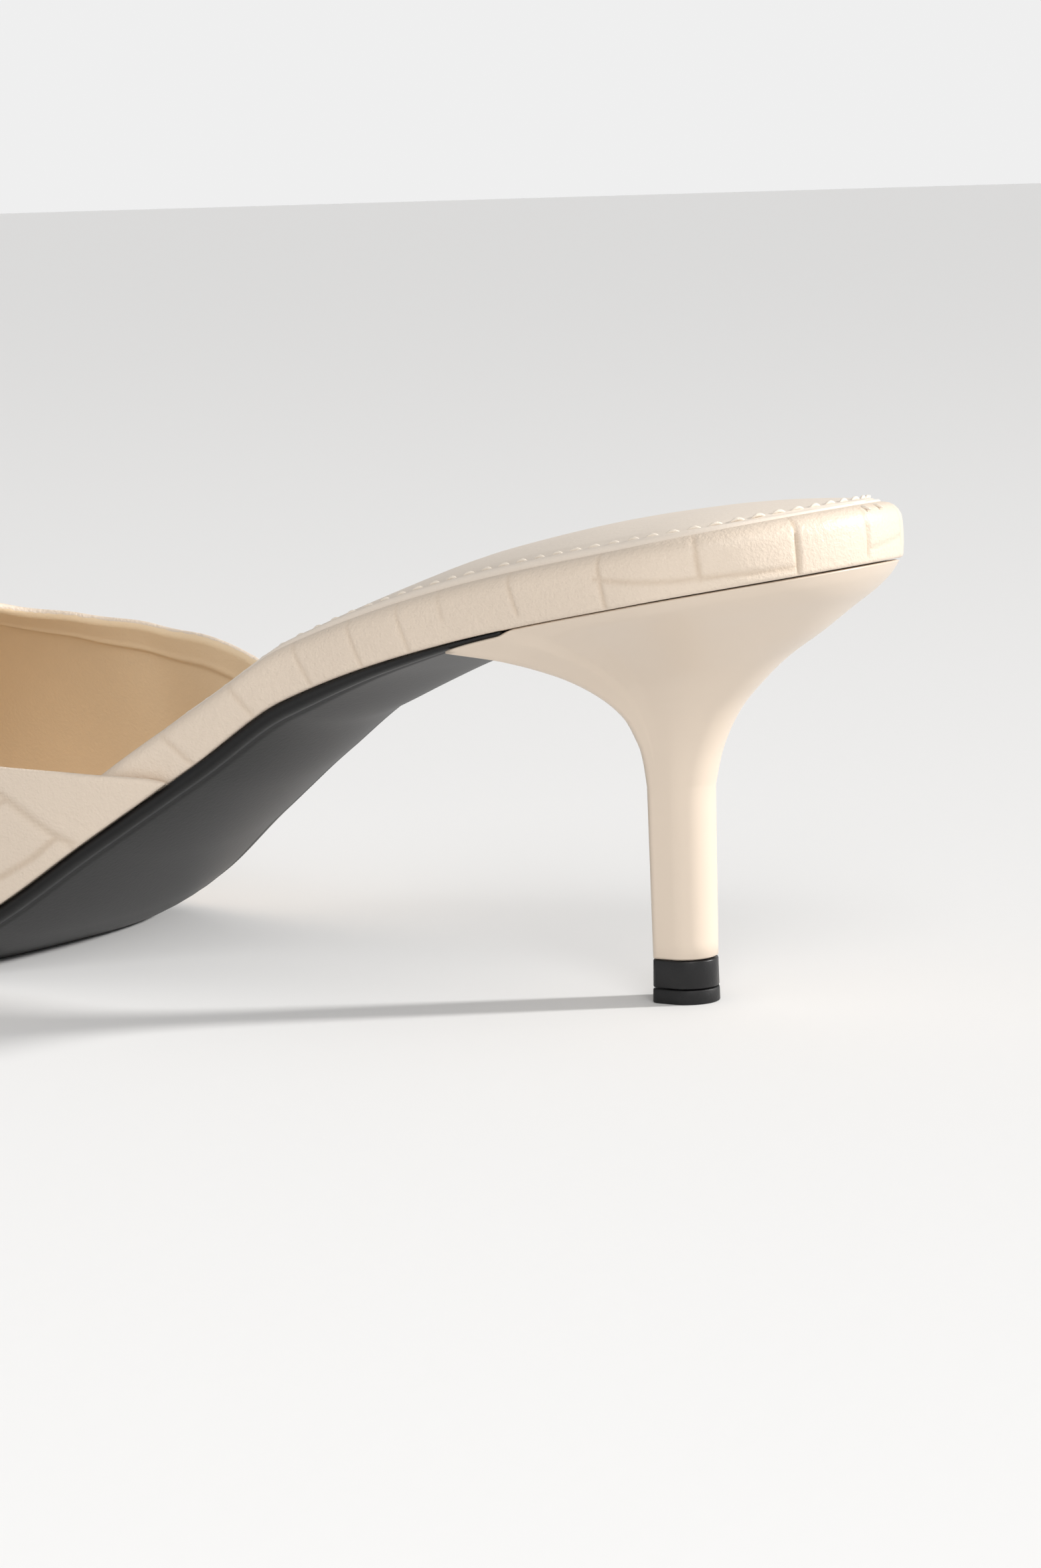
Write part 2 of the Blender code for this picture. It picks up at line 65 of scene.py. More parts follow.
OUTSOLE_EDGE = 0.0017
OUTSOLE_BELLY = 0.0030
OUTSOLE_INSET = 0.0004
OUTSOLE_MARGIN = 0.0013
BAND_THICKNESS = 0.0077
FOREPART_THICKNESS = 0.0042
BAND_TOP_RADIUS = 0.0026
FOOTBED_TOE_GAP = 0.004
SOCK_INSET = 0.0028
SOCK_TOE_GAP = 0.016
SOCK_EDGE = 0.0008
SOCK_CROWN = 0.0042
UPPER_WALL = 0.0016
CREST_SWING = 0.003
SHAFT_BACK = 0.0270
SHAFT_LENGTH = 0.0083
SHAFT_WIDTH = 0.0088
SHAFT_TAPER = 0.95
SHAFT_TOP_SHARE = 0.49
LIP_FRONT = 0.0551
LIP_THICKNESS = 0.0003
LIP_SCOOP = 0.0085
HEEL_INSET = 0.0005
COLLAR_HEIGHT = 0.0040
LIFT_HEIGHT = 0.0021
GAP = 0.0003
WRAP_GAP = 0.0007

# Where the shoe's own frame lies in the row's frame
FOOTBED_LOW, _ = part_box("footbed")
TIP_LOW, TIP_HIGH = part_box("heel_tip")
ORIGIN = Vector((FOOTBED_LOW[0], (TIP_LOW[1] + TIP_HIGH[1]) / 2, 0.0))

OUTLINE = (
    # station, named width, outer share, inner share
    (0.000, HEEL_SEAT_WIDTH, 0.500, 0.500),
    (0.119, HEEL_SEAT_WIDTH, 0.500, 0.495),
    (0.227, HEEL_SEAT_WIDTH, 0.457, 0.415),
    (0.349, WAIST_WIDTH, 0.535, 0.505),
    (0.423, WAIST_WIDTH, 0.590, 0.510),
    (0.473, WAIST_WIDTH, 0.685, 0.570),
    (0.537, BALL_WIDTH, 0.430, 0.395),
    (0.606, BALL_WIDTH, 0.482, 0.490),
    (0.694, BALL_WIDTH, 0.505, 0.520),
    (0.763, BALL_WIDTH, 0.500, 0.525),
    (1.000, BALL_WIDTH, 0.480, 0.510),
)
PROFILE = (
    # station, share of the rise
    (0.000, 1.000),
    (0.104, 0.925),
    (0.227, 0.821),
    (0.349, 0.661),
    (0.411, 0.489),
    (0.473, 0.307),
    (0.547, 0.103),
    (0.595, 0.020),
    (0.645, 0.000),
    (1.000, 0.000),
)
INSTEP = (
    # station, share of the instep height
    (0.389, 1.255),
    (0.507, 1.253),
    (0.586, 1.202),
    (0.636, 1.120),
    (0.701, 1.000),
    (0.763, 0.850),
    (0.832, 0.680),
    (0.901, 0.510),
    (0.961, 0.370),
    (1.000, 0.300),
)
TOPLINE = (
    # station, share of the height, side
    (0.422, 0.000, 1),
    (0.467, 0.150, 1),
    (0.526, 0.332, 1),
    (0.587, 0.508, 1),
    (0.636, 0.678, 1),
    (0.677, 0.860, 1),
    (0.701, 1.000, 1),
    (0.683, 0.925, -1),
    (0.645, 0.842, -1),
    (0.599, 0.741, -1),
    (0.546, 0.594, -1),
    (0.477, 0.314, -1),
    (0.407, 0.000, -1),
)
UNDERSIDE = (
    # station, share of edge, share of belly, roundness
    (0.000, 0.22, 0.10, 2.0),
    (0.192, 0.25, 0.12, 2.0),
    (0.271, 0.65, 0.36, 2.0),
    (0.349, 1.00, 0.95, 2.0),
    (0.473, 1.00, 1.00, 2.2),
    (0.566, 1.00, 1.00, 3.0),
    (0.605, 1.00, 0.98, 4.0),
    (0.645, 1.00, 0.60, 5.0),
    (0.783, 1.00, 0.54, 5.0),
    (1.000, 1.00, 0.50, 4.0),
)
FLANKS = (
    # share of the height, back, side, breast
    (0.00, 0.000, 0.000, 0.000),
    (0.14, 0.040, 0.025, 0.005),
    (0.25, 0.092, 0.060, 0.008),
    (0.36, 0.170, 0.110, 0.026),
    (0.48, 0.300, 0.185, 0.050),
    (0.58, 0.430, 0.270, 0.100),
    (0.70, 0.630, 0.440, 0.170),
    (0.81, 0.790, 0.650, 0.260),
    (0.89, 0.905, 0.830, 0.380),
    (0.95, 0.965, 0.950, 0.560),
    (1.00, 1.000, 1.000, 1.000),
)
PADDING = (
    # station, share from band to forepart thickness, share of the sock's crown
    (0.000, 0.00, 0.20),
    (0.073, 0.00, 0.66),
    (0.162, 0.00, 0.95),
    (0.227, 0.00, 1.00),
    (0.290, 0.00, 0.70),
    (0.369, -0.06, 0.18),
    (0.430, -0.28, 0.12),
    (0.487, -0.22, 0.08),
    (0.645, 1.00, 0.12),
    (1.000, 1.00, 0.12),
)
TOE_START = 0.749
TOE_POWER = 2.0
TOE_FULLNESS = 0.72
TOE_HEIGHT_START = 0.931
SIDE_POWER = 0.85
HEIGHT_POWER = 0.90

# Creases pressed across the band: distance round the outline from the back of the heel
# (outer side positive), lean of the crease's top, depth, and how far down it starts
BAND_CREASES = (
    # place, lean, depth, lowest share, highest share
    (-0.0082, 0.0002, 0.00022, 0.25, 1.0),
    (0.0031, 0.0001, 0.00030, 0.10, 1.0),
    (0.0155, 0.0003, 0.00042, 0.05, 1.0),
    (0.0290, 0.0012, 0.00028, 0.20, 1.0),
    (0.0430, 0.0016, 0.00024, 0.00, 1.0),
    (0.0575, 0.0030, 0.00020, 0.20, 1.0),
    (0.0700, 0.0028, 0.00012, 0.40, 1.0),
    (0.0775, 0.0032, 0.00016, 0.00, 1.0),
    (0.0865, 0.0034, 0.00017, 0.00, 1.0),
    (0.0962, 0.0040, 0.00017, 0.00, 1.0),
    (0.1068, 0.0046, 0.00017, 0.00, 1.0),
    (0.1172, 0.0052, 0.00020, 0.00, 1.0),
    (-0.0215, 0.0003, 0.00030, 0.10, 1.0),
    (-0.0345, 0.0010, 0.00026, 0.10, 1.0),
    (-0.0490, 0.0018, 0.00022, 0.00, 1.0),
    (-0.0625, 0.0030, 0.00018, 0.10, 1.0),
    (-0.0760, 0.0032, 0.00018, 0.00, 1.0),
    (-0.0880, 0.0036, 0.00016, 0.00, 1.0),
    (-0.0990, 0.0042, 0.00016, 0.00, 1.0),
    (-0.1095, 0.0048, 0.00018, 0.00, 1.0),
)
# Creases pressed along the band: they link two cross creases low on the band
BAND_LONG_CREASES = (
    # start, end, height share at start, at middle, at end, depth
    (0.0155, 0.0290, 0.16, 0.18, 0.26, 0.00024),
    (0.0290, 0.0440, 0.26, 0.30, 0.58, 0.00020),
    (-0.0082, 0.0031, 0.42, 0.34, 0.26, 0.00018),
    (-0.0345, -0.0215, 0.26, 0.18, 0.20, 0.00022),
    (-0.0490, -0.0345, 0.56, 0.30, 0.26, 0.00018),
)
CREASE_HALF_WIDTH = 0.00034
# Creases pressed across the vamp's outer side: stations and heights above the feather, metres
VAMP_CREASES = (
    ((0.1325, 0.0215), (0.1263, 0.0134), (0.1200, 0.0045), (0.1168, 0.0005)),
    ((0.1345, 0.0050), (0.1286, 0.0036), (0.1231, 0.0030), (0.1192, 0.0034)),
    ((0.1440, 0.0200), (0.1375, 0.0120), (0.1325, 0.0040), (0.1300, 0.0005)),
    ((0.1400, 0.0150), (0.1330, 0.0145), (0.1268, 0.0142)),
)
VAMP_CREASE_DEPTH = 0.00030
VAMP_CREASE_HALF_WIDTH = 0.00048
# Scale pattern on the rest of the vamp, and where the listed creases end
SCALE_LENGTH = 0.0125
SCALE_WIDTH = 0.0145
VAMP_GIRTH = 0.115
HAND_CREASES_END = 0.141
HAND_CREASES_ANGLE = 1.35

# Small forms of the pieces: band's flat rim and swell, stitches, vamp's rim and turned edge,
# outsole's rounded lip and channel, points per stretch of the heel's outline
BAND_RIM = 0.0060
BAND_SWELL = 0.00012
STITCH_INSET = 0.0017
STITCH_CHANNEL = 0.00030
STITCH_PITCH = 0.0031
STITCH_LENGTH = 0.0023
STITCH_RADIUS = 0.00026
RIM_RADIUS = 0.0008
TURNED_EDGE = 0.0050
TURNED_STEP = 0.00035
TURNED_RIDGE = 0.00012
SOLE_LIP = 0.0006
SOLE_CHANNEL = 0.00028
SOLE_CHANNEL_INSET = 0.0021
HEEL_DENSITY = 6
TIP_BEVEL = 0.00018

# Camera fitted to the photo: place in the shoe's frame, then turn, dip and roll in degrees
CAMERA_PLACE = (-0.2726, 0.5082, 0.1126)
CAMERA_TURN = 33.08
CAMERA_DIP = 7.85
CAMERA_ROLL = -1.68
CAMERA_FOCAL_PIXELS = 6500.0
PHOTO_HEIGHT_PIXELS = 2361.0
SENSOR_HEIGHT = 36.0

# Surroundings: half size of the floor, its paleness, glow at the horizon and overhead
FLOOR_REACH = 60.0
FLOOR_LEVEL = 0.80
HORIZON_GLOW = 0.865
OVERHEAD_GLOW = 0.42

# Lights: way to the far low key in degrees from X and above the floor, its strength and softness,
# then the place, size and power of the near fill
KEY_TURN = -143.5
KEY_RISE = 25.0
KEY_STRENGTH = 3.3
KEY_SOFTNESS = 6.0
FILL_PLACE = (-1.1, 1.2, 1.15)
FILL_SIZE = 1.0
FILL_POWER = 16.0


def read_table(rows, column, place):
    """Value of one column at a place, on a smooth curve that never overshoots its rows."""
    last = len(rows) - 1
    if place <= rows[0][0]:
        return rows[0][column]
    if place >= rows[last][0]:
        return rows[last][column]
    i = max(k for k in range(last) if rows[k][0] <= place)

    def slope(k):
        return (rows[k + 1][column] - rows[k][column]) / (rows[k + 1][0] - rows[k][0])

    def tangent(k):
        if k == 0:
            return slope(0)
        if k == last:
            return slope(last - 1)
        before = slope(k - 1)
        after = slope(k)
        if before * after <= 0.0:
            return 0.0
        return 2.0 * before * after / (before + after)

    width = rows[i + 1][0] - rows[i][0]
    t = (place - rows[i][0]) / width
    rise = (1.0 + 2.0 * t) * (1.0 - t) ** 2 * rows[i][column]
    rise += t * t * (3.0 - 2.0 * t) * rows[i + 1][column]
    rise += t * (1.0 - t) ** 2 * width * tangent(i)
    rise -= t * t * (1.0 - t) * width * tangent(i + 1)
    return rise


def ease(low, high, value):
    """Smooth step from 0 at low to 1 at high."""
    t = min(1.0, max(0.0, (value - low) / (high - low)))
    return t * t * (3.0 - 2.0 * t)


def spine(x):
    """Sideways place of the sole's middle line."""
    return -TOE_SWING * ease(0.62, 1.0, x / SHOE_LENGTH)


WIDTH_ROWS = tuple((row[0], row[1] * row[2], row[1] * row[3]) for row in OUTLINE)


def half_width(x, side, outset):
    """Distance from the spine to the edge, for an outline moved outward by outset."""
    column = 1 if side > 0 else 2
    width = read_table(WIDTH_ROWS, column, x / SHOE_LENGTH) + outset
    heel_centre = HEEL_SEAT_WIDTH / 2
    if x < heel_centre:
        turn = (heel_centre - x) / (heel_centre + outset)
        width *= math.sqrt(max(0.0, 1.0 - turn * turn))
    toe_start = TOE_START * SHOE_LENGTH
    if x > toe_start:
        turn = min(1.0, (x - toe_start) / (SHOE_LENGTH + outset - toe_start))
        width *= (1.0 - turn ** TOE_POWER) ** TOE_FULLNESS
    return width


def edge_y(x, side, outset):
    """Y of the outline on one side."""
    return spine(x) + side * half_width(x, side, outset)


def feather_z(x, y):
    """Height of the surface between the outsole and the footbed."""
    station = x / SHOE_LENGTH
    share = read_table(PROFILE, 1, station)
    height = FOREPART_RISE + (SEAT_RISE - FOREPART_RISE) * share
    toe = max(0.0, station - 0.76) / 0.24
    height += TOE_SPRING * toe * toe
    arch = ease(0.24, 0.42, station) * (1.0 - ease(0.44, 0.62, station))
    if arch == 0.0:
        return height
    inward = max(0.0, spine(x) - y) / max(1e-6, half_width(x, -1, 0.0))
    return height + ARCH_RAISE * arch * min(1.0, inward) ** 2


def outsole_margin(x):
    """How far the outsole's edge stands out from the footbed's outline."""
    wrap = ease(0.38, 0.45, x / SHOE_LENGTH)
    return -OUTSOLE_INSET + (OUTSOLE_MARGIN + OUTSOLE_INSET) * wrap


def underside_z(x, y):
    """Height of the outsole's underside, cut flat by the floor."""
    station = x / SHOE_LENGTH
    side = 1 if y > spine(x) else -1
    reach = half_width(x, side, outsole_margin(x))
    across = min(1.0, abs(y - spine(x)) / max(1e-6, reach))
    edge = OUTSOLE_EDGE * read_table(UNDERSIDE, 1, station)
    belly = OUTSOLE_BELLY * read_table(UNDERSIDE, 2, station)
    roundness = read_table(UNDERSIDE, 3, station)
    height = feather_z(x, y) - GAP / 2 - edge - belly * (1.0 - across ** roundness)
    return max(0.0, height)


def footbed_thickness(x):
    """Thickness of the footbed, thinner inside the upper."""
    thin = read_table(PADDING, 1, x / SHOE_LENGTH)
    return BAND_THICKNESS + (FOREPART_THICKNESS - BAND_THICKNESS) * thin


def footbed_top_z(x, y):
    """Height of the footbed's top surface."""
    return feather_z(x, y) + GAP / 2 + footbed_thickness(x)


def last_point(x, angle, outset, tip):
    """Point of the last's surface at a station and an angle from the outer feather edge."""
    station = x / SHOE_LENGTH
    side = 1 if angle < math.pi / 2 else -1
    width = half_width(x, side, outset)
    crest = -CREST_SWING * ease(1.0, 0.80, station)
    height = INSTEP_HEIGHT * read_table(INSTEP, 1, station) - UPPER_WALL - WRAP_GAP + outset
    toe_start = TOE_HEIGHT_START * SHOE_LENGTH
    if x > toe_start:
        turn = min(1.0, (x - toe_start) / (tip - toe_start))
        height *= math.sqrt(1.0 - turn * turn)
    reach = abs(math.cos(angle)) ** SIDE_POWER
    bulge = SIDE_BULGE * abs(math.sin(2.0 * angle)) * min(1.0, 2.0 * width / BALL_WIDTH)
    y = spine(x) + crest + side * ((width - side * crest) * reach + bulge)
    across = (1.0 - math.cos(angle)) / 2.0
    outer_base = feather_z(x, edge_y(x, 1, 0.0))
    inner_base = feather_z(x, edge_y(x, -1, 0.0))
    base = outer_base + (inner_base - outer_base) * across + GAP / 2
    return Vector((x, y, base + height * math.sin(angle) ** HEIGHT_POWER))


def topline(share):
    """Station and angle of the topline at a share of its run."""
    rows = []
    for k, (station, rise, side) in enumerate(TOPLINE):
        lean = math.asin(min(1.0, rise ** (1.0 / HEIGHT_POWER)))
        rows.append((k / (len(TOPLINE) - 1), station, lean if side > 0 else math.pi - lean))
    return read_table(rows, 1, share) * SHOE_LENGTH, read_table(rows, 2, share)


# Materials


class Nodes:
    """Short way to add linked shader nodes to one material."""

    def __init__(self, name, colour, roughness):
        self.material = bpy.data.materials.new(name)
        self.material.use_nodes = True
        self.tree = self.material.node_tree
        self.shader = self.tree.nodes["Principled BSDF"]
        self.shader.inputs["Base Color"].default_value = (*colour, 1.0)
        self.shader.inputs["Roughness"].default_value = roughness

    def add(self, kind, settings=None, **inputs):
        """Add a node; inputs are values or sockets, by name or as i and a number."""
        node = self.tree.nodes.new(kind)
        for key, value in (settings or {}).items():
            setattr(node, key, value)
        for key, value in inputs.items():
            numbered = key[0] == "i" and key[1:].isdigit()
            socket = node.inputs[int(key[1:])] if numbered else node.inputs[key]
            if isinstance(value, bpy.types.NodeSocket):
                self.tree.links.new(value, socket)
            else:
                socket.default_value = value
        return node

    def place(self):
        """Object coordinates."""
        return self.add("ShaderNodeTexCoord").outputs["Object"]

    def noise(self, scale, detail, roughness=0.5):
        """Noise in metres: scale is one over the size of a blot."""
        node = self.add("ShaderNodeTexNoise", None, Scale=scale, Detail=detail, Roughness=roughness)
        self.tree.links.new(self.place(), node.inputs["Vector"])
        return node.outputs["Fac"]

    def ramp(self, factor, low, high, low_colour, high_colour):
        """Blend of two colours between two values of a factor."""
        node = self.add("ShaderNodeValToRGB", None, Fac=factor)
        node.color_ramp.elements[0].position = low
        node.color_ramp.elements[0].color = (*low_colour, 1.0)
        node.color_ramp.elements[1].position = high
        node.color_ramp.elements[1].color = (*high_colour, 1.0)
        return node.outputs["Color"]

    def bump(self, height, distance, strength=1.0, normal=None):
        """Bump from a height, in metres."""
        node = self.add("ShaderNodeBump", None, Height=height, Distance=distance, Strength=strength)
        if normal is not None:
            self.tree.links.new(normal, node.inputs["Normal"])
        return node.outputs["Normal"]

    def colour(self, socket):
        self.tree.links.new(socket, self.shader.inputs["Base Color"])

    def normal(self, socket):
        self.tree.links.new(socket, self.shader.inputs["Normal"])

    def rough(self, socket):
        self.tree.links.new(socket, self.shader.inputs["Roughness"])


CREAM = (0.740, 0.625, 0.510)
# Colour of the painted shade in the pressed creases and scale lines
CREASE_SHADE_CREAM = (0.610, 0.490, 0.375)
CREAM_SOCK = (0.800, 0.710, 0.615)


def tint(colour, factor):
    """A colour made lighter or darker."""
    return tuple(min(1.0, channel * factor) for channel in colour)


def embossed_leather(name, with_scales):
    """Cream leather with pressed creases, fine pores and a satin finish; painted shade darkens the
    creases and scale lines.
    """
    nodes = Nodes(name, CREAM, 0.5)
    # Painted shade: strength of the darkening in the pressed creases, read from the mesh
    crease = nodes.add("ShaderNodeAttribute", {"attribute_name": "crease"}).outputs["Fac"]
    pressed = crease
    if with_scales:
        skin = nodes.add("ShaderNodeAttribute", {"attribute_name": "skin"}).outputs["Vector"]
        weight = nodes.add("ShaderNodeAttribute", {"attribute_name": "scales"}).outputs["Fac"]
        cells = nodes.add(
            "ShaderNodeTexVoronoi", {"feature": "DISTANCE_TO_EDGE"},
            Vector=skin, Scale=1.0, Randomness=0.55,
        )
        line = nodes.add(
            "ShaderNodeMapRange", {"interpolation_type": "SMOOTHSTEP"},
            Value=cells.outputs["Distance"], i1=0.0, i2=0.055, i3=1.0, i4=0.0,
        )
        # Scale lines: pressed in as a bump and darkened as painted shade
        scales = nodes.add(
            "ShaderNodeMath", {"operation": "MULTIPLY"}, i0=line.outputs[0], i1=weight
        )
        pressed = nodes.add(
            "ShaderNodeMath", {"operation": "MAXIMUM"}, i0=crease, i1=scales.outputs[0]
        ).outputs[0]
    cloud = nodes.ramp(nodes.noise(55.0, 3.0), 0.35, 0.70, tint(CREAM, 0.975), tint(CREAM, 1.02))
    # Painted shade: the colour darkens in the creases and scale lines
    shade = nodes.add(
        "ShaderNodeMix", {"data_type": "RGBA", "blend_type": "MIX"},
        Factor=pressed, i6=cloud, i7=(*CREASE_SHADE_CREAM, 1.0),
    )
    nodes.colour(shade.outputs[2])
    pores = nodes.bump(nodes.noise(2400.0, 2.0, 0.55), 0.00016, 0.7)
    grain = nodes.bump(nodes.noise(800.0, 3.0, 0.6), 0.00022, 0.6, pores)
    if with_scales:
        raised = nodes.add(
            "ShaderNodeMath", {"operation": "SUBTRACT"}, i0=1.0, i1=scales.outputs[0]
        )
        grain = nodes.bump(raised.outputs[0], 0.00030, 0.8, grain)
    nodes.normal(grain)
    nodes.rough(nodes.ramp(nodes.noise(900.0, 2.0), 0.3, 0.7, (0.43,) * 3, (0.55,) * 3))
    nodes.shader.inputs["Coat Weight"].default_value = 0.12
    nodes.shader.inputs["Coat Roughness"].default_value = 0.35
    return nodes.material


def smooth_leather():
    """Smooth matt leather of the padded insole cover."""
    nodes = Nodes("smooth_leather", CREAM_SOCK, 0.55)
    darker = tint(CREAM_SOCK, 0.98)
    lighter = tint(CREAM_SOCK, 1.02)
    nodes.colour(nodes.ramp(nodes.noise(40.0, 2.0), 0.3, 0.7, darker, lighter))
    nodes.normal(nodes.bump(nodes.noise(1500.0, 3.0, 0.6), 0.00008, 0.5))
    nodes.rough(nodes.ramp(nodes.noise(600.0, 2.0), 0.3, 0.7, (0.50,) * 3, (0.62,) * 3))
    return nodes.material


def lining_leather():
    """Tan lining inside the vamp."""
    tan = (0.830, 0.660, 0.450)
    nodes = Nodes("lining_leather", tan, 0.6)
    nodes.colour(nodes.ramp(nodes.noise(30.0, 3.0), 0.3, 0.7, tint(tan, 0.96), tint(tan, 1.03)))
    nodes.normal(nodes.bump(nodes.noise(1800.0, 2.0, 0.6), 0.00008, 0.6))
    return nodes.material


def thread():
    """Light cotton thread."""
    nodes = Nodes("thread", (0.80, 0.72, 0.62), 0.7)
    nodes.normal(nodes.bump(nodes.noise(6000.0, 1.0), 0.00006, 0.8))
    return nodes.material


def cream_lacquer():
    """Smooth satin lacquer of the moulded heel."""
    lacquer = tint(CREAM, 0.96)
    nodes = Nodes("cream_lacquer", lacquer, 0.38)
    darker = tint(lacquer, 0.99)
    lighter = tint(lacquer, 1.01)
    nodes.colour(nodes.ramp(nodes.noise(25.0, 1.0), 0.3, 0.7, darker, lighter))
    nodes.normal(nodes.bump(nodes.noise(420.0, 1.0), 0.00003, 0.4))
    nodes.shader.inputs["Coat Weight"].default_value = 0.25
    nodes.shader.inputs["Coat Roughness"].default_value = 0.22
    return nodes.material


def moulded_black(name, level, roughness, grain):
    """Black moulded rubber or plastic with a fine grain."""
    colour = (level, level, level * 1.08)
    nodes = Nodes(name, colour, roughness)
    darker = tint(colour, 0.85)
    lighter = tint(colour, 1.15)
    nodes.colour(nodes.ramp(nodes.noise(60.0, 3.0), 0.3, 0.7, darker, lighter))
    nodes.normal(nodes.bump(nodes.noise(grain, 2.0, 0.6), 0.00006, 0.5))
    nodes.shader.inputs["Specular IOR Level"].default_value = 0.35
    return nodes.material


def floor_paper():
    """Matt white floor."""
    nodes = Nodes("floor_paper", (FLOOR_LEVEL, FLOOR_LEVEL, FLOOR_LEVEL), 0.95)
    nodes.shader.inputs["Specular IOR Level"].default_value = 0.1
    nodes.normal(nodes.bump(nodes.noise(220.0, 3.0), 0.0002, 0.12))
    return nodes.material


# Meshes


def link_mesh(
    name, points, faces, materials, face_material=None, crease=None, skin=None, scales=None
):
    """New smooth object in the row's frame from points in the shoe's frame.

    crease is the strength of the painted shade in the pressed creases at each point, skin the place
    on the flattened leather in scales, and scales the strength of the scale pattern and of the
    painted shade in its lines.
    """
    mesh = bpy.data.meshes.new(name)
    shift = np.array(ORIGIN)
    placed = np.asarray(points, dtype=float) + shift
    mesh.from_pydata([tuple(p) for p in placed], [], faces)
    for material in materials:
        mesh.materials.append(material)
    if face_material is not None:
        mesh.polygons.foreach_set("material_index", face_material)
    if crease is not None:
        # Attribute carrying the painted shade in the creases
        layer = mesh.attributes.new("crease", "FLOAT", "POINT")
        layer.data.foreach_set("value", np.asarray(crease, dtype=float))
    if skin is not None:
        layer = mesh.attributes.new("skin", "FLOAT_VECTOR", "POINT")
        layer.data.foreach_set("vector", np.asarray(skin, dtype=float).ravel())
        layer = mesh.attributes.new("scales", "FLOAT", "POINT")
        layer.data.foreach_set("value", np.asarray(scales, dtype=float))
    mesh.validate()
    work = bmesh.new()
    work.from_mesh(mesh)
    bmesh.ops.remove_doubles(work, verts=work.verts, dist=1e-6)
    bmesh.ops.recalc_face_normals(work, faces=work.faces)
    if work.calc_volume(signed=True) < 0.0:
        bmesh.ops.reverse_faces(work, faces=work.faces)
    work.to_mesh(mesh)
    work.free()
    mesh.shade_smooth()
    piece = bpy.data.objects.new(name, mesh)
    bpy.context.scene.collection.objects.link(piece)
    return piece


def ring_faces(ring_count, ring_size, cap_first, cap_last):
    """Quads between closed rings laid one after another, with optional flat caps."""
    faces = []
    for i in range(ring_count - 1):
        low = i * ring_size
        high = low + ring_size
        for k in range(ring_size):
            following = (k + 1) % ring_size
            faces.append((low + k, low + following, high + following, high + k))
    if cap_first:
        faces.append(tuple(range(ring_size))[::-1])
    if cap_last:
        faces.append(tuple(range((ring_count - 1) * ring_size, ring_count * ring_size)))
    return faces


def finish_piece(piece, slot, *nodes):
    """Ride on the one body and stand for the CAD nodes; the slot argument is not used."""
    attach(piece, "root")
    if nodes:
        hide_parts(*nodes)
    return piece


def outline_stations(end, fine_pitch, coarse_pitch, fine_end):
    """Stations spaced evenly round the heel, then along the shoe."""
    radius = HEEL_SEAT_WIDTH / 2
    steps = int(radius * math.pi / 2 / fine_pitch)
    stations = [radius * (1.0 - math.cos(math.pi / 2 * k / steps)) for k in range(steps)]
    x = radius
    while x < end - coarse_pitch:
        stations.append(x)
        x += fine_pitch if x < fine_end else coarse_pitch
    for offset in (0.0030, 0.0018, 0.0009, 0.0003, 0.0):
        if end - offset > stations[-1] + 1e-4:
            stations.append(end - offset)
    return stations


def outline_walk(stations, side, outset, stretch):
    """Outline points on one side with their inward directions and distance from the back."""
    points = [np.array((x, edge_y(x + stretch(x), side, outset))) for x in stations]
    walked = [0.0]
    for before, after in zip(points, points[1:]):
        walked.append(walked[-1] + float(np.linalg.norm(after - before)))
    inward = []
    last = len(points) - 1
    for k in range(len(points)):
        if k == 0:
            inward.append(np.array((1.0, 0.0)))
            continue
        if k == last:
            inward.append(np.array((-1.0, 0.0)))
            continue
        run = points[k + 1] - points[k - 1]
        run /= np.linalg.norm(run)
        inward.append(np.array((side * run[1], -side * run[0])))
    return points, inward, walked


def band_crease(place, height):
    """Depth of the pressed creases at a place round the band and a share of its height."""
    depth = 0.0
    for crease, lean, deep, lowest, highest in BAND_CREASES:
        side = 1.0 if crease > 0 else -1.0
        away = place - (crease + side * lean * (height - 0.5))
        if abs(away) > 4.0 * CREASE_HALF_WIDTH:
            continue
        run = ease(lowest - 0.08, lowest + 0.08, height)
        run *= 1.0 - ease(highest, highest + 0.1, height)
        depth = max(depth, deep * run * math.exp(-((away / CREASE_HALF_WIDTH) ** 2)))
    for start, end, first, middle, last, deep in BAND_LONG_CREASES:
        if not start <= place <= end:
            continue
        t = (place - start) / (end - start)
        level = first * (1 - t) ** 2 + 2.0 * middle * t * (1 - t) + last * t * t
        away = (height - level) * BAND_THICKNESS
        depth = max(depth, deep * math.exp(-((away / CREASE_HALF_WIDTH) ** 2)))
    return depth


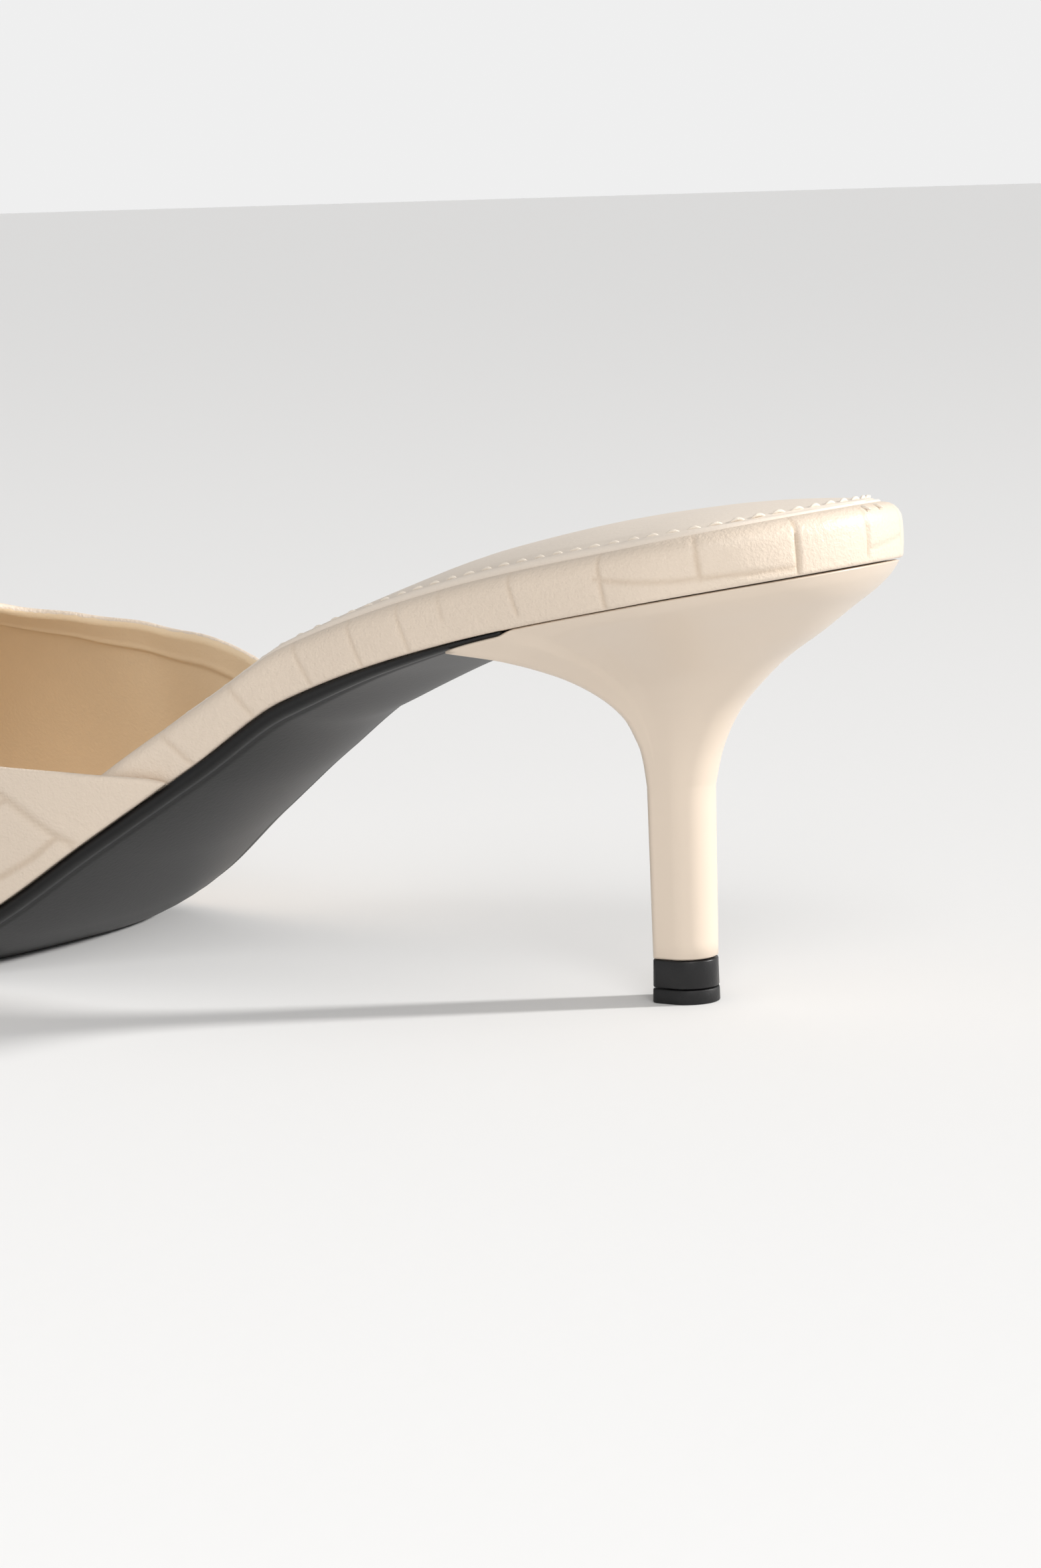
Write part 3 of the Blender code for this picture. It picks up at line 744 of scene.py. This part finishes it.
def make_band():
    """Footbed wrapped in embossed leather: soft round top edge, pressed creases."""
    end = SHOE_LENGTH - FOOTBED_TOE_GAP
    stations = outline_stations(end, 0.00034, 0.0020, 0.128)

    def stretch(x):
        return ease(TOE_START, 1.0, x / end) * FOOTBED_TOE_GAP

    side_rows = 14
    top_turns = 5
    points = []
    crease = []
    walks = [outline_walk(stations, side, 0.0, stretch) for side in (1, -1)]
    for k, x in enumerate(stations):
        thickness = footbed_thickness(x)
        half = (walks[0][0][k][1] - walks[1][0][k][1]) / 2
        fit = min(1.0, max(0.02, half / 0.012)) if x > 0.2 else 1.0
        radius = min(BAND_TOP_RADIUS, 0.6 * thickness) * fit
        columns = []
        for (edge, inward, walked), side in zip(walks, (1, -1)):
            profile = [
                (BAND_RIM * fit, 0.0, 0.0),
                (0.0016 * fit, 0.0, 0.0),
                (0.0003 * fit, 0.00006, 0.0),
            ]
            for row in range(side_rows):
                share = row / (side_rows - 1)
                up = 0.0003 + (thickness - radius - 0.0003) * share
                swell = BAND_SWELL * math.sin(math.pi * share)
                profile.append((-swell * fit, up, 1.0))
            for turn in range(1, top_turns + 1):
                angle = math.pi / 2 * turn / top_turns
                fade = 1.0 - 0.75 * turn / top_turns
                inset = radius * (1.0 - math.cos(angle))
                profile.append((inset, thickness - radius * (1.0 - math.sin(angle)), fade))
            profile.append((BAND_RIM * fit, thickness, 0.0))
            column = []
            for inset, up, pressed in profile:
                deep = 0.0
                if pressed > 0.0:
                    deep = pressed * band_crease(side * walked[k], up / BAND_THICKNESS)
                flat = edge[k] + inward[k] * (inset + deep)
                z = feather_z(min(x, SHOE_LENGTH), flat[1]) + GAP / 2 + up
                column.append(((flat[0], flat[1], z), deep))
            columns.append(column)
        outer, inner = columns
        middle = []
        for share in (0.75, 0.5, 0.25):
            top = [outer[-1][0][i] * share + inner[-1][0][i] * (1.0 - share) for i in range(3)]
            middle.append(((top[0], top[1], top[2]), 0.0))
        foot = []
        for share in (0.25, 0.5, 0.75):
            low = [outer[0][0][i] * share + inner[0][0][i] * (1.0 - share) for i in range(3)]
            foot.append(((low[0], low[1], low[2]), 0.0))
        for place, deep in outer + middle + inner[::-1] + foot:
            points.append(place)
            # Painted shade in the creases: the deeper the crease, the darker the colour
            crease.append(min(1.0, deep / 0.0003))
    size = len(points) // len(stations)
    faces = ring_faces(len(stations), size, False, False)
    band = link_mesh("band", points, faces, [MATERIALS["embossed"]], None, crease)
    return finish_piece(band, "embossed_leather", "footbed")


def sock_point(x, y_inner, y_outer, share, crown):
    """Top of the padded cover at a share of its width."""
    y = y_inner + (y_outer - y_inner) * share
    across = abs(2.0 * share - 1.0)
    half = (y_outer - y_inner) / 2
    from_edge = half * (1.0 - across)
    shoulder = min(1.0, from_edge / 0.0014)
    edge = SOCK_EDGE * math.sqrt(1.0 - (1.0 - shoulder) ** 2)
    seam = STITCH_CHANNEL * math.exp(-(((from_edge - STITCH_INSET) / 0.0005) ** 2))
    return (x, y, footbed_top_z(x, y) + edge + crown * (1.0 - across ** 2.2) - seam)


def sock_edges(x):
    """Outline and crown of the padded cover at one station."""
    end = SHOE_LENGTH - SOCK_TOE_GAP
    forward = ease(TOE_START, 1.0, x / end) * (SHOE_LENGTH - SOCK_INSET - end)
    y_outer = edge_y(x + forward, 1, -SOCK_INSET)
    y_inner = edge_y(x + forward, -1, -SOCK_INSET)
    crown = SOCK_CROWN * read_table(PADDING, 2, x / SHOE_LENGTH)
    crown *= min(1.0, abs(y_outer - y_inner) / HEEL_SEAT_WIDTH)
    return y_outer, y_inner, crown


def make_sock():
    """Padded insole cover, crowned under the heel, with a pressed stitching channel."""
    start = SOCK_INSET
    end = SHOE_LENGTH - SOCK_TOE_GAP
    count = 230
    edge_shares = (0.0, 0.012, 0.026, 0.042, 0.060, 0.080, 0.11, 0.15, 0.21, 0.28, 0.36, 0.43)
    shares = edge_shares + (0.5,) + tuple(1.0 - s for s in reversed(edge_shares))
    points = []
    for k in range(count + 1):
        u = k / count
        x = start + (end - start) * (u - 0.8 * math.sin(math.tau * u) / math.tau)
        y_outer, y_inner, crown = sock_edges(x)
        for share in shares:
            points.append(sock_point(x, y_inner, y_outer, share, crown))
        for share in reversed(shares):
            y = y_inner + (y_outer - y_inner) * share
            points.append((x, y, footbed_top_z(x, y) - 0.0004))
    faces = ring_faces(count + 1, 2 * len(shares), False, False)
    sock = link_mesh("sock_pad", points, faces, [MATERIALS["smooth"]])
    finish_piece(sock, "smooth_leather", "sock")
    return sock


def make_stitches():
    """Row of short raised stitches round the edge of the padded cover."""
    rng = random.Random(7)
    points = []
    faces = []
    stations = outline_stations(SHOE_LENGTH * 0.68, 0.0004, 0.0004, 1.0)
    for side in (1, -1):
        edge, inward, walked = outline_walk(stations, side, -SOCK_INSET, lambda x: 0.0)
        place = STITCH_PITCH / 2
        while place < walked[-1] - STITCH_PITCH:
            run = []
            for step in range(7):
                at = place + STITCH_LENGTH * (step / 6.0 - 0.5)
                behind = [k for k in range(len(walked)) if walked[k] <= max(0.0, at)]
                k = min(len(walked) - 2, behind[-1])
                t = (at - walked[k]) / (walked[k + 1] - walked[k])
                flat = edge[k] * (1.0 - t) + edge[k + 1] * t + inward[k] * STITCH_INSET
                y_outer, y_inner, crown = sock_edges(max(flat[0], SOCK_INSET))
                span = max(1e-4, y_outer - y_inner)
                share = min(1.0, max(0.0, (flat[1] - y_inner) / span))
                z = sock_point(max(flat[0], SOCK_INSET), y_inner, y_outer, share, crown)[2]
                rise = 0.00030 * math.sin(math.pi * step / 6.0) - 0.00010
                run.append(np.array((flat[0], flat[1], z + rise)))
            along = run[-1] - run[0]
            along /= np.linalg.norm(along)
            out = np.cross(along, (0.0, 0.0, 1.0))
            out /= np.linalg.norm(out)
            up = np.cross(out, along)
            lean = rng.uniform(-0.00012, 0.00012)
            first = len(points)
            for step, middle in enumerate(run):
                thick = STITCH_RADIUS * math.sqrt(max(0.08, 1.0 - (step / 3.0 - 1.0) ** 2))
                for turn in range(8):
                    angle = math.tau * turn / 8
                    shift = lean * (step / 3.0 - 1.0)
                    points.append(middle + out * (thick * math.cos(angle) + shift)
                                  + up * thick * math.sin(angle))
            for face in ring_faces(7, 8, True, True):
                faces.append(tuple(first + k for k in face))
            place += STITCH_PITCH
    stitches = link_mesh("sock_stitches", points, faces, [MATERIALS["thread"]])
    return finish_piece(stitches, "smooth_leather")


def nearest_gap(points, targets):
    """Distance from each point to the nearest target."""
    gaps = np.empty(len(points))
    for start in range(0, len(points), 2000):
        part = points[start:start + 2000]
        away = np.linalg.norm(part[:, None, :] - targets[None, :, :], axis=2)
        gaps[start:start + 2000] = away.min(axis=1)
    return gaps


def crease_path(corners, outset):
    """Points along one pressed crease on the vamp's outer side."""
    path = []
    for (x0, up0), (x1, up1) in zip(corners, corners[1:]):
        for step in range(40):
            t = step / 40.0
            x = x0 + (x1 - x0) * t
            up = up0 + (up1 - up0) * t
            height = INSTEP_HEIGHT * read_table(INSTEP, 1, x / SHOE_LENGTH)
            angle = math.asin(min(1.0, (up / height) ** (1.0 / HEIGHT_POWER)))
            path.append(last_point(x, angle, outset, SHOE_LENGTH + outset))
    return np.array(path)


def make_vamp():
    """Hollow upper: embossed outside, turned edge along the topline, tan lining inside."""
    columns = 230
    rows = 185
    starts = []
    for column in range(columns + 1):
        t = column / columns
        starts.append(topline(t * (0.45 + 0.55 * t)))
    full = WRAP_GAP + UPPER_WALL
    line = []
    for k in range(1201):
        x, angle = topline(k / 1200)
        line.append(last_point(x, angle, full, SHOE_LENGTH + full))
    line = np.array(line)
    skins = []
    for outset in (full, WRAP_GAP):
        tip = SHOE_LENGTH + outset
        grid = np.zeros((columns + 1, rows + 1, 3))
        for column, (start, angle) in enumerate(starts):
            for row in range(rows + 1):
                u = row / rows
                forward = 0.55 * (0.5 - 0.5 * math.cos(math.pi * u)) + 0.45 * u
                x = start + (tip - start) * forward
                grid[column, row] = last_point(min(x, tip), angle, outset, tip)
        skins.append(grid)
    outer, inner = skins
    shape = (columns + 1, rows + 1)
    wall = inner - outer
    unit = wall / np.maximum(1e-9, np.linalg.norm(wall, axis=2))[:, :, None]
    from_line = nearest_gap(outer.reshape(-1, 3), line).reshape(shape)
    near = np.clip(from_line / RIM_RADIUS, 0.0, 1.0)
    round_edge = np.sqrt(1.0 - (1.0 - near) ** 2)
    step = np.clip((from_line - TURNED_EDGE) / 0.0007 + 0.5, 0.0, 1.0)
    step = step * step * (3.0 - 2.0 * step)
    ridge = np.exp(-(((from_line - TURNED_EDGE + 0.0006) / 0.0005) ** 2))

    groove = np.zeros(shape)
    for corners in VAMP_CREASES:
        away = nearest_gap(outer.reshape(-1, 3), crease_path(corners, full)).reshape(shape)
        groove = np.maximum(groove, np.exp(-((away / VAMP_CREASE_HALF_WIDTH) ** 2)))
    groove *= np.clip((from_line - 0.0006) / 0.001, 0.0, 1.0)

    outside = outer + (wall / 2) * (1.0 - round_edge)[:, :, None]
    outside += unit * (VAMP_CREASE_DEPTH * groove)[:, :, None]
    inside = inner - (wall / 2) * (1.0 - round_edge)[:, :, None]
    inside += unit * (TURNED_RIDGE * ridge - TURNED_STEP * step)[:, :, None]

    angles = np.array([angle for _, angle in starts])[:, None] * np.ones(shape)
    along = outer[:, :, 0] / SCALE_LENGTH
    round_skin = angles / math.pi * VAMP_GIRTH / SCALE_WIDTH
    skin = np.stack([along + 0.3, round_skin + 0.2, np.zeros(shape)], axis=2).reshape(-1, 3)
    by_hand = (outer[:, :, 0] < HAND_CREASES_END) & (angles < HAND_CREASES_ANGLE)
    # Scale pattern strength: drives both the scale grooves and the painted shade in their lines
    scales = np.where(by_hand, 0.0, np.clip((from_line - 0.001) / 0.002, 0.0, 1.0)).ravel()

    size = shape[0] * shape[1]
    points = np.concatenate([outside.reshape(-1, 3), inside.reshape(-1, 3)])
    # Painted shade along the vamp's pressed creases, outside only
    crease = np.concatenate([groove.ravel() * 0.75, np.zeros(size)])
    skin = np.concatenate([skin, skin])
    scales = np.concatenate([scales, np.zeros(size)])
    faces = []
    face_material = []

    def corner(skin_index, column, row):
        return skin_index * size + column * (rows + 1) + row

    for column in range(columns):
        for row in range(rows):
            outer_face = [
                corner(0, column, row),
                corner(0, column, row + 1),
                corner(0, column + 1, row + 1),
                corner(0, column + 1, row),
            ]
            faces.append(tuple(outer_face))
            face_material.append(0)
            faces.append(tuple(k + size for k in reversed(outer_face)))
            face_material.append(1)
    for column in (0, columns):
        for row in range(rows):
            first = corner(0, column, row)
            faces.append((first, first + 1, first + 1 + size, first + size))
            face_material.append(0)
    for column in range(columns):
        first = corner(0, column, 0)
        second = corner(0, column + 1, 0)
        faces.append((first, second, second + size, first + size))
        face_material.append(0)
    materials = [MATERIALS["vamp"], MATERIALS["lining"]]
    vamp = link_mesh("vamp", points, faces, materials, face_material, crease, skin, scales)
    return finish_piece(vamp, "embossed_leather", "upper")


def make_sole():
    """Black outsole: rounded lip, shallow edge channel, rounded belly, flat under the ball."""
    end = SHOE_LENGTH + OUTSOLE_MARGIN
    count = 260
    near = (0.0, 0.0004, 0.0009, 0.0014, 0.0018, 0.0022, 0.0027, 0.0034)
    points = []
    for k in range(count + 1):
        u = k / count
        x = OUTSOLE_START + (end - OUTSOLE_START) * (1.0 - (1.0 - u) ** 1.25)
        margin = outsole_margin(x)
        y_outer = edge_y(x, 1, margin)
        y_inner = edge_y(x, -1, margin)
        half = max(1e-6, (y_outer - y_inner) / 2)
        middle = (y_outer + y_inner) / 2
        fit = min(1.0, half / 0.010)
        insets = [inset * fit for inset in near] + [half * s for s in (0.2, 0.32, 0.46, 0.62, 0.8)]
        across = [y_outer - i for i in insets] + [middle] + [y_inner + i for i in reversed(insets)]
        lower = []
        for y in across:
            from_edge = half - abs(y - middle)
            z = underside_z(x, y)
            round_lip = SOLE_LIP * fit * max(0.0, 1.0 - from_edge / 0.0009) ** 2
            channel = SOLE_CHANNEL * math.exp(-(((from_edge - SOLE_CHANNEL_INSET) / 0.0004) ** 2))
            lower.append((x, y, z + round_lip + channel * ease(0.0, 0.0012, z)))
        upper = [(x, y, feather_z(x, y) + 0.00005) for y in across]
        upper[0] = (x, y_outer - 0.0002 * fit, upper[0][2] - 0.0001)
        upper[-1] = (x, y_inner + 0.0002 * fit, upper[-1][2] - 0.0001)
        points += lower + upper[::-1]
    size = len(points) // (count + 1)
    faces = ring_faces(count + 1, size, True, False)
    sole = link_mesh("sole", points, faces, [MATERIALS["sole"]])
    return finish_piece(sole, "moulded_sole", "outsole")


def d_ring(back, front, outer, inner, corner, back_radius, density):
    """Points of a D: flat front, two soft corners, straight sides and a half round back."""
    points = []
    for k in range(4 * density + 1):
        share = 1.0 - k / (2.0 * density)
        points.append((front, share * ((outer if share > 0 else inner) - corner)))
    for k in range(1, density + 1):
        angle = math.pi / 2 * k / density
        drop = corner * (1.0 - math.cos(angle))
        points.append((front - drop, -inner + corner * (1.0 - math.sin(angle))))
    centre = back + back_radius
    for k in range(1, 3 * density):
        share = k / (3.0 * density)
        points.append((front - corner + (centre - front + corner) * share, -inner))
    turns = 10 * density
    for k in range(turns + 1):
        angle = math.pi / 2 + math.pi * k / turns
        reach = inner if k < turns / 2 else outer
        points.append((centre + back_radius * math.cos(angle), -reach * math.sin(angle)))
    for k in range(3 * density - 1, 0, -1):
        share = k / (3.0 * density)
        points.append((front - corner + (centre - front + corner) * share, outer))
    for k in range(density, 0, -1):
        angle = math.pi / 2 * k / density
        drop = corner * (1.0 - math.cos(angle))
        points.append((front - drop, outer - corner * (1.0 - math.sin(angle))))
    return points


def shaft_ring(scale):
    """D-shaped outline of the shaft."""
    half = SHAFT_WIDTH / 2 * scale
    middle = SHAFT_BACK + SHAFT_LENGTH / 2
    back = middle - SHAFT_LENGTH / 2 * scale
    front = middle + SHAFT_LENGTH / 2 * scale
    return d_ring(back, front, half, half, 0.0012 * scale, half, HEEL_DENSITY)


def seat_ring():
    """Outline of the heel where it meets the footbed and the outsole."""
    ring = []
    radius = HEEL_SEAT_WIDTH / 2 - HEEL_INSET
    for x, share in d_ring(HEEL_INSET, LIP_FRONT, 1.0, 1.0, 0.0, radius, HEEL_DENSITY):
        side = 1 if share > 0 else -1
        reach = half_width(x, side, -HEEL_INSET)
        if x <= HEEL_SEAT_WIDTH / 2:
            y = side * reach if abs(share) > 1e-6 else 0.0
        else:
            y = share * reach
        scoop = LIP_SCOOP * (1.0 - share * share) if x >= LIP_FRONT else 0.0
        ring.append((x - scoop, y))
    return ring


def seat_z(x, y):
    """Underside that the heel's top follows."""
    step = ease(OUTSOLE_START - 0.001, OUTSOLE_START, x)
    board = feather_z(x, y)
    return board + (underside_z(x, y) - board) * step


def make_heel():
    """Lacquered heel: lipped seat, concave breast and back, slim shaft."""
    tip_height = LIFT_HEIGHT + COLLAR_HEIGHT
    shaft_top = SHAFT_TOP_SHARE * SEAT_RISE
    seat = seat_ring()
    shaft = shaft_ring(1.0)
    foot = shaft_ring(SHAFT_TAPER)
    rings = []
    rings.append([(x + (0.0367 - x) * 0.06, y * 0.94, tip_height + 0.0001) for x, y in foot])
    rings.append([(x, y, tip_height + 0.0004) for x, y in foot])
    for k in range(1, 10):
        share = k / 10.0
        rings.append(
            [
                (a[0] + (b[0] - a[0]) * share, a[1] + (b[1] - a[1]) * share,
                 tip_height + (shaft_top - tip_height) * share)
                for a, b in zip(foot, shaft)
            ]
        )
    levels = 70
    for k in range(levels + 1):
        share = 1.0 - (1.0 - k / levels) ** 1.25
        back_share = read_table(FLANKS, 1, share)
        side_share = read_table(FLANKS, 2, share)
        breast_share = read_table(FLANKS, 3, share)
        ring = []
        for (seat_x, seat_y), (shaft_x, shaft_y) in zip(seat, shaft):
            drop = LIP_THICKNESS * ease(SHAFT_BACK + SHAFT_LENGTH, LIP_FRONT, seat_x)
            top = seat_z(seat_x, seat_y) - 0.0001 - drop
            out = breast_share if seat_x > shaft_x else back_share
            x = shaft_x + (seat_x - shaft_x) * out
            y = shaft_y + (seat_y - shaft_y) * side_share
            ring.append((x, y, shaft_top + (top - shaft_top) * share))
        rings.append(ring)
    for shrink in (0.0, 0.02, 0.25, 0.5, 0.75, 0.97):
        ring = []
        for seat_x, seat_y in seat:
            x = seat_x + (0.030 - seat_x) * shrink
            y = seat_y * (1.0 - shrink)
            ring.append((x, y, seat_z(x, y) - 0.0001 + (0.0002 if shrink > 0.01 else 0.0)))
        rings.append(ring)
    points = [point for ring in rings for point in ring]
    faces = ring_faces(len(rings), len(seat), True, True)
    heel = link_mesh("heel_body", points, faces, [MATERIALS["lacquer"]])
    return finish_piece(heel, "cream_lacquer", "heel")


def make_layer(name, low, high, low_scale, high_scale, bevel, material, slot, node):
    """One layer of the heel's black tip, with small rounded edges."""
    rings = []
    for inset, z, scale in (
        (bevel, low, low_scale),
        (0.3 * bevel, low + 0.3 * bevel, low_scale),
        (0.0, low + bevel, low_scale),
        (0.0, high - bevel, high_scale),
        (0.3 * bevel, high - 0.3 * bevel, high_scale),
        (bevel, high, high_scale),
    ):
        shrink = 1.0 - inset / (SHAFT_WIDTH / 2)
        rings.append([(x, y, z) for x, y in shaft_ring(scale * shrink)])
    points = [point for ring in rings for point in ring]
    faces = ring_faces(len(rings), len(rings[0]), True, True)
    layer = link_mesh(name, points, faces, [material])
    return finish_piece(layer, slot, node)


def make_tip():
    """Collar and wear layer of the heel."""
    make_layer(
        "tip_collar", LIFT_HEIGHT + 0.00008, LIFT_HEIGHT + COLLAR_HEIGHT, SHAFT_TAPER * 1.015,
        SHAFT_TAPER, TIP_BEVEL, MATERIALS["tip"], "black_plastic", "heel_tip",
    )
    make_layer(
        "wear_layer", 0.0, LIFT_HEIGHT - 0.00008, SHAFT_TAPER * 1.03, SHAFT_TAPER * 1.02,
        TIP_BEVEL, MATERIALS["lift"], "black_rubber", "top_lift",
    )


# Stage


def make_floor():
    """Large pale floor that meets the pale horizon."""
    mesh = bpy.data.meshes.new("floor")
    corners = [(side * FLOOR_REACH, end * FLOOR_REACH, 0.0) for side, end in
               ((-1, -1), (1, -1), (1, 1), (-1, 1))]
    mesh.from_pydata(corners, [], [(0, 1, 2, 3)])
    mesh.materials.append(floor_paper())
    floor = bpy.data.objects.new("floor", mesh)
    bpy.context.scene.collection.objects.link(floor)


def add_area(name, place, target, size, power, colour):
    """Soft square light aimed at a point."""
    light = bpy.data.lights.new(name, "AREA")
    light.size = size
    light.energy = power
    light.color = colour
    lamp = bpy.data.objects.new(name, light)
    lamp.location = place
    lamp.rotation_euler = (Vector(target) - Vector(place)).to_track_quat("-Z", "Y").to_euler()
    bpy.context.scene.collection.objects.link(lamp)


def make_lights():
    """Pale surroundings brightest at the horizon, a low key from behind, a broad fill."""
    world = bpy.data.worlds.new("studio")
    bpy.context.scene.world = world
    world.use_nodes = True
    tree = world.node_tree
    place = tree.nodes.new("ShaderNodeTexCoord")
    split = tree.nodes.new("ShaderNodeSeparateXYZ")
    ramp = tree.nodes.new("ShaderNodeValToRGB")
    ramp.color_ramp.elements[0].position = 0.10
    ramp.color_ramp.elements[0].color = (HORIZON_GLOW, HORIZON_GLOW, HORIZON_GLOW, 1.0)
    ramp.color_ramp.elements[1].position = 0.35
    ramp.color_ramp.elements[1].color = (OVERHEAD_GLOW, OVERHEAD_GLOW, OVERHEAD_GLOW, 1.0)
    tree.links.new(place.outputs["Generated"], split.inputs[0])
    tree.links.new(split.outputs["Z"], ramp.inputs["Fac"])
    tree.links.new(ramp.outputs["Color"], tree.nodes["Background"].inputs["Color"])
    turn = math.radians(KEY_TURN)
    rise = math.radians(KEY_RISE)
    toward = Vector(
        (math.cos(rise) * math.cos(turn), math.cos(rise) * math.sin(turn), math.sin(rise))
    )
    light = bpy.data.lights.new("key", "SUN")
    light.energy = KEY_STRENGTH
    light.angle = math.radians(KEY_SOFTNESS)
    light.color = (1.0, 0.985, 0.965)
    key = bpy.data.objects.new("key", light)
    key.rotation_euler = toward.to_track_quat("Z", "Y").to_euler()
    bpy.context.scene.collection.objects.link(key)
    add_area("fill", FILL_PLACE, (0.0, 0.0, 0.02), FILL_SIZE, FILL_POWER, (1.0, 0.99, 0.975))


def make_camera():
    """Camera at the photo's angle and distance."""
    turn = math.radians(CAMERA_TURN)
    dip = math.radians(CAMERA_DIP)
    roll = math.radians(CAMERA_ROLL)
    ahead = Vector(
        (math.cos(dip) * math.sin(turn), -math.cos(dip) * math.cos(turn), -math.sin(dip))
    )
    level = Vector((-math.cos(turn), -math.sin(turn), 0.0))
    above = level.cross(ahead)
    right = level * math.cos(roll) + above * math.sin(roll)
    up = above * math.cos(roll) - level * math.sin(roll)
    data = bpy.data.cameras.new("photo_camera")
    data.sensor_fit = "VERTICAL"
    data.sensor_height = SENSOR_HEIGHT
    data.lens = CAMERA_FOCAL_PIXELS / PHOTO_HEIGHT_PIXELS * SENSOR_HEIGHT
    data.clip_start = 0.01
    data.clip_end = 50.0
    camera = bpy.data.objects.new("photo_camera", data)
    pose = Matrix((right, up, -ahead)).transposed().to_4x4()
    pose.translation = Vector(CAMERA_PLACE) + ORIGIN
    camera.matrix_world = pose
    bpy.context.scene.collection.objects.link(camera)
    bpy.context.scene.camera = camera


MATERIALS = {
    "embossed": embossed_leather("embossed_leather", False),
    "vamp": embossed_leather("embossed_vamp_leather", True),
    "smooth": smooth_leather(),
    "lining": lining_leather(),
    "thread": thread(),
    "lacquer": cream_lacquer(),
    "sole": moulded_black("moulded_sole", 0.0045, 0.42, 1400.0),
    "tip": moulded_black("tip_plastic", 0.010, 0.34, 2200.0),
    "lift": moulded_black("lift_rubber", 0.008, 0.5, 2600.0),
}

make_camera()
make_lights()
make_floor()
make_sole()
make_band()
make_sock()
make_stitches()
make_vamp()
make_heel()
make_tip()

bpy.context.scene.view_settings.view_transform = "Standard"
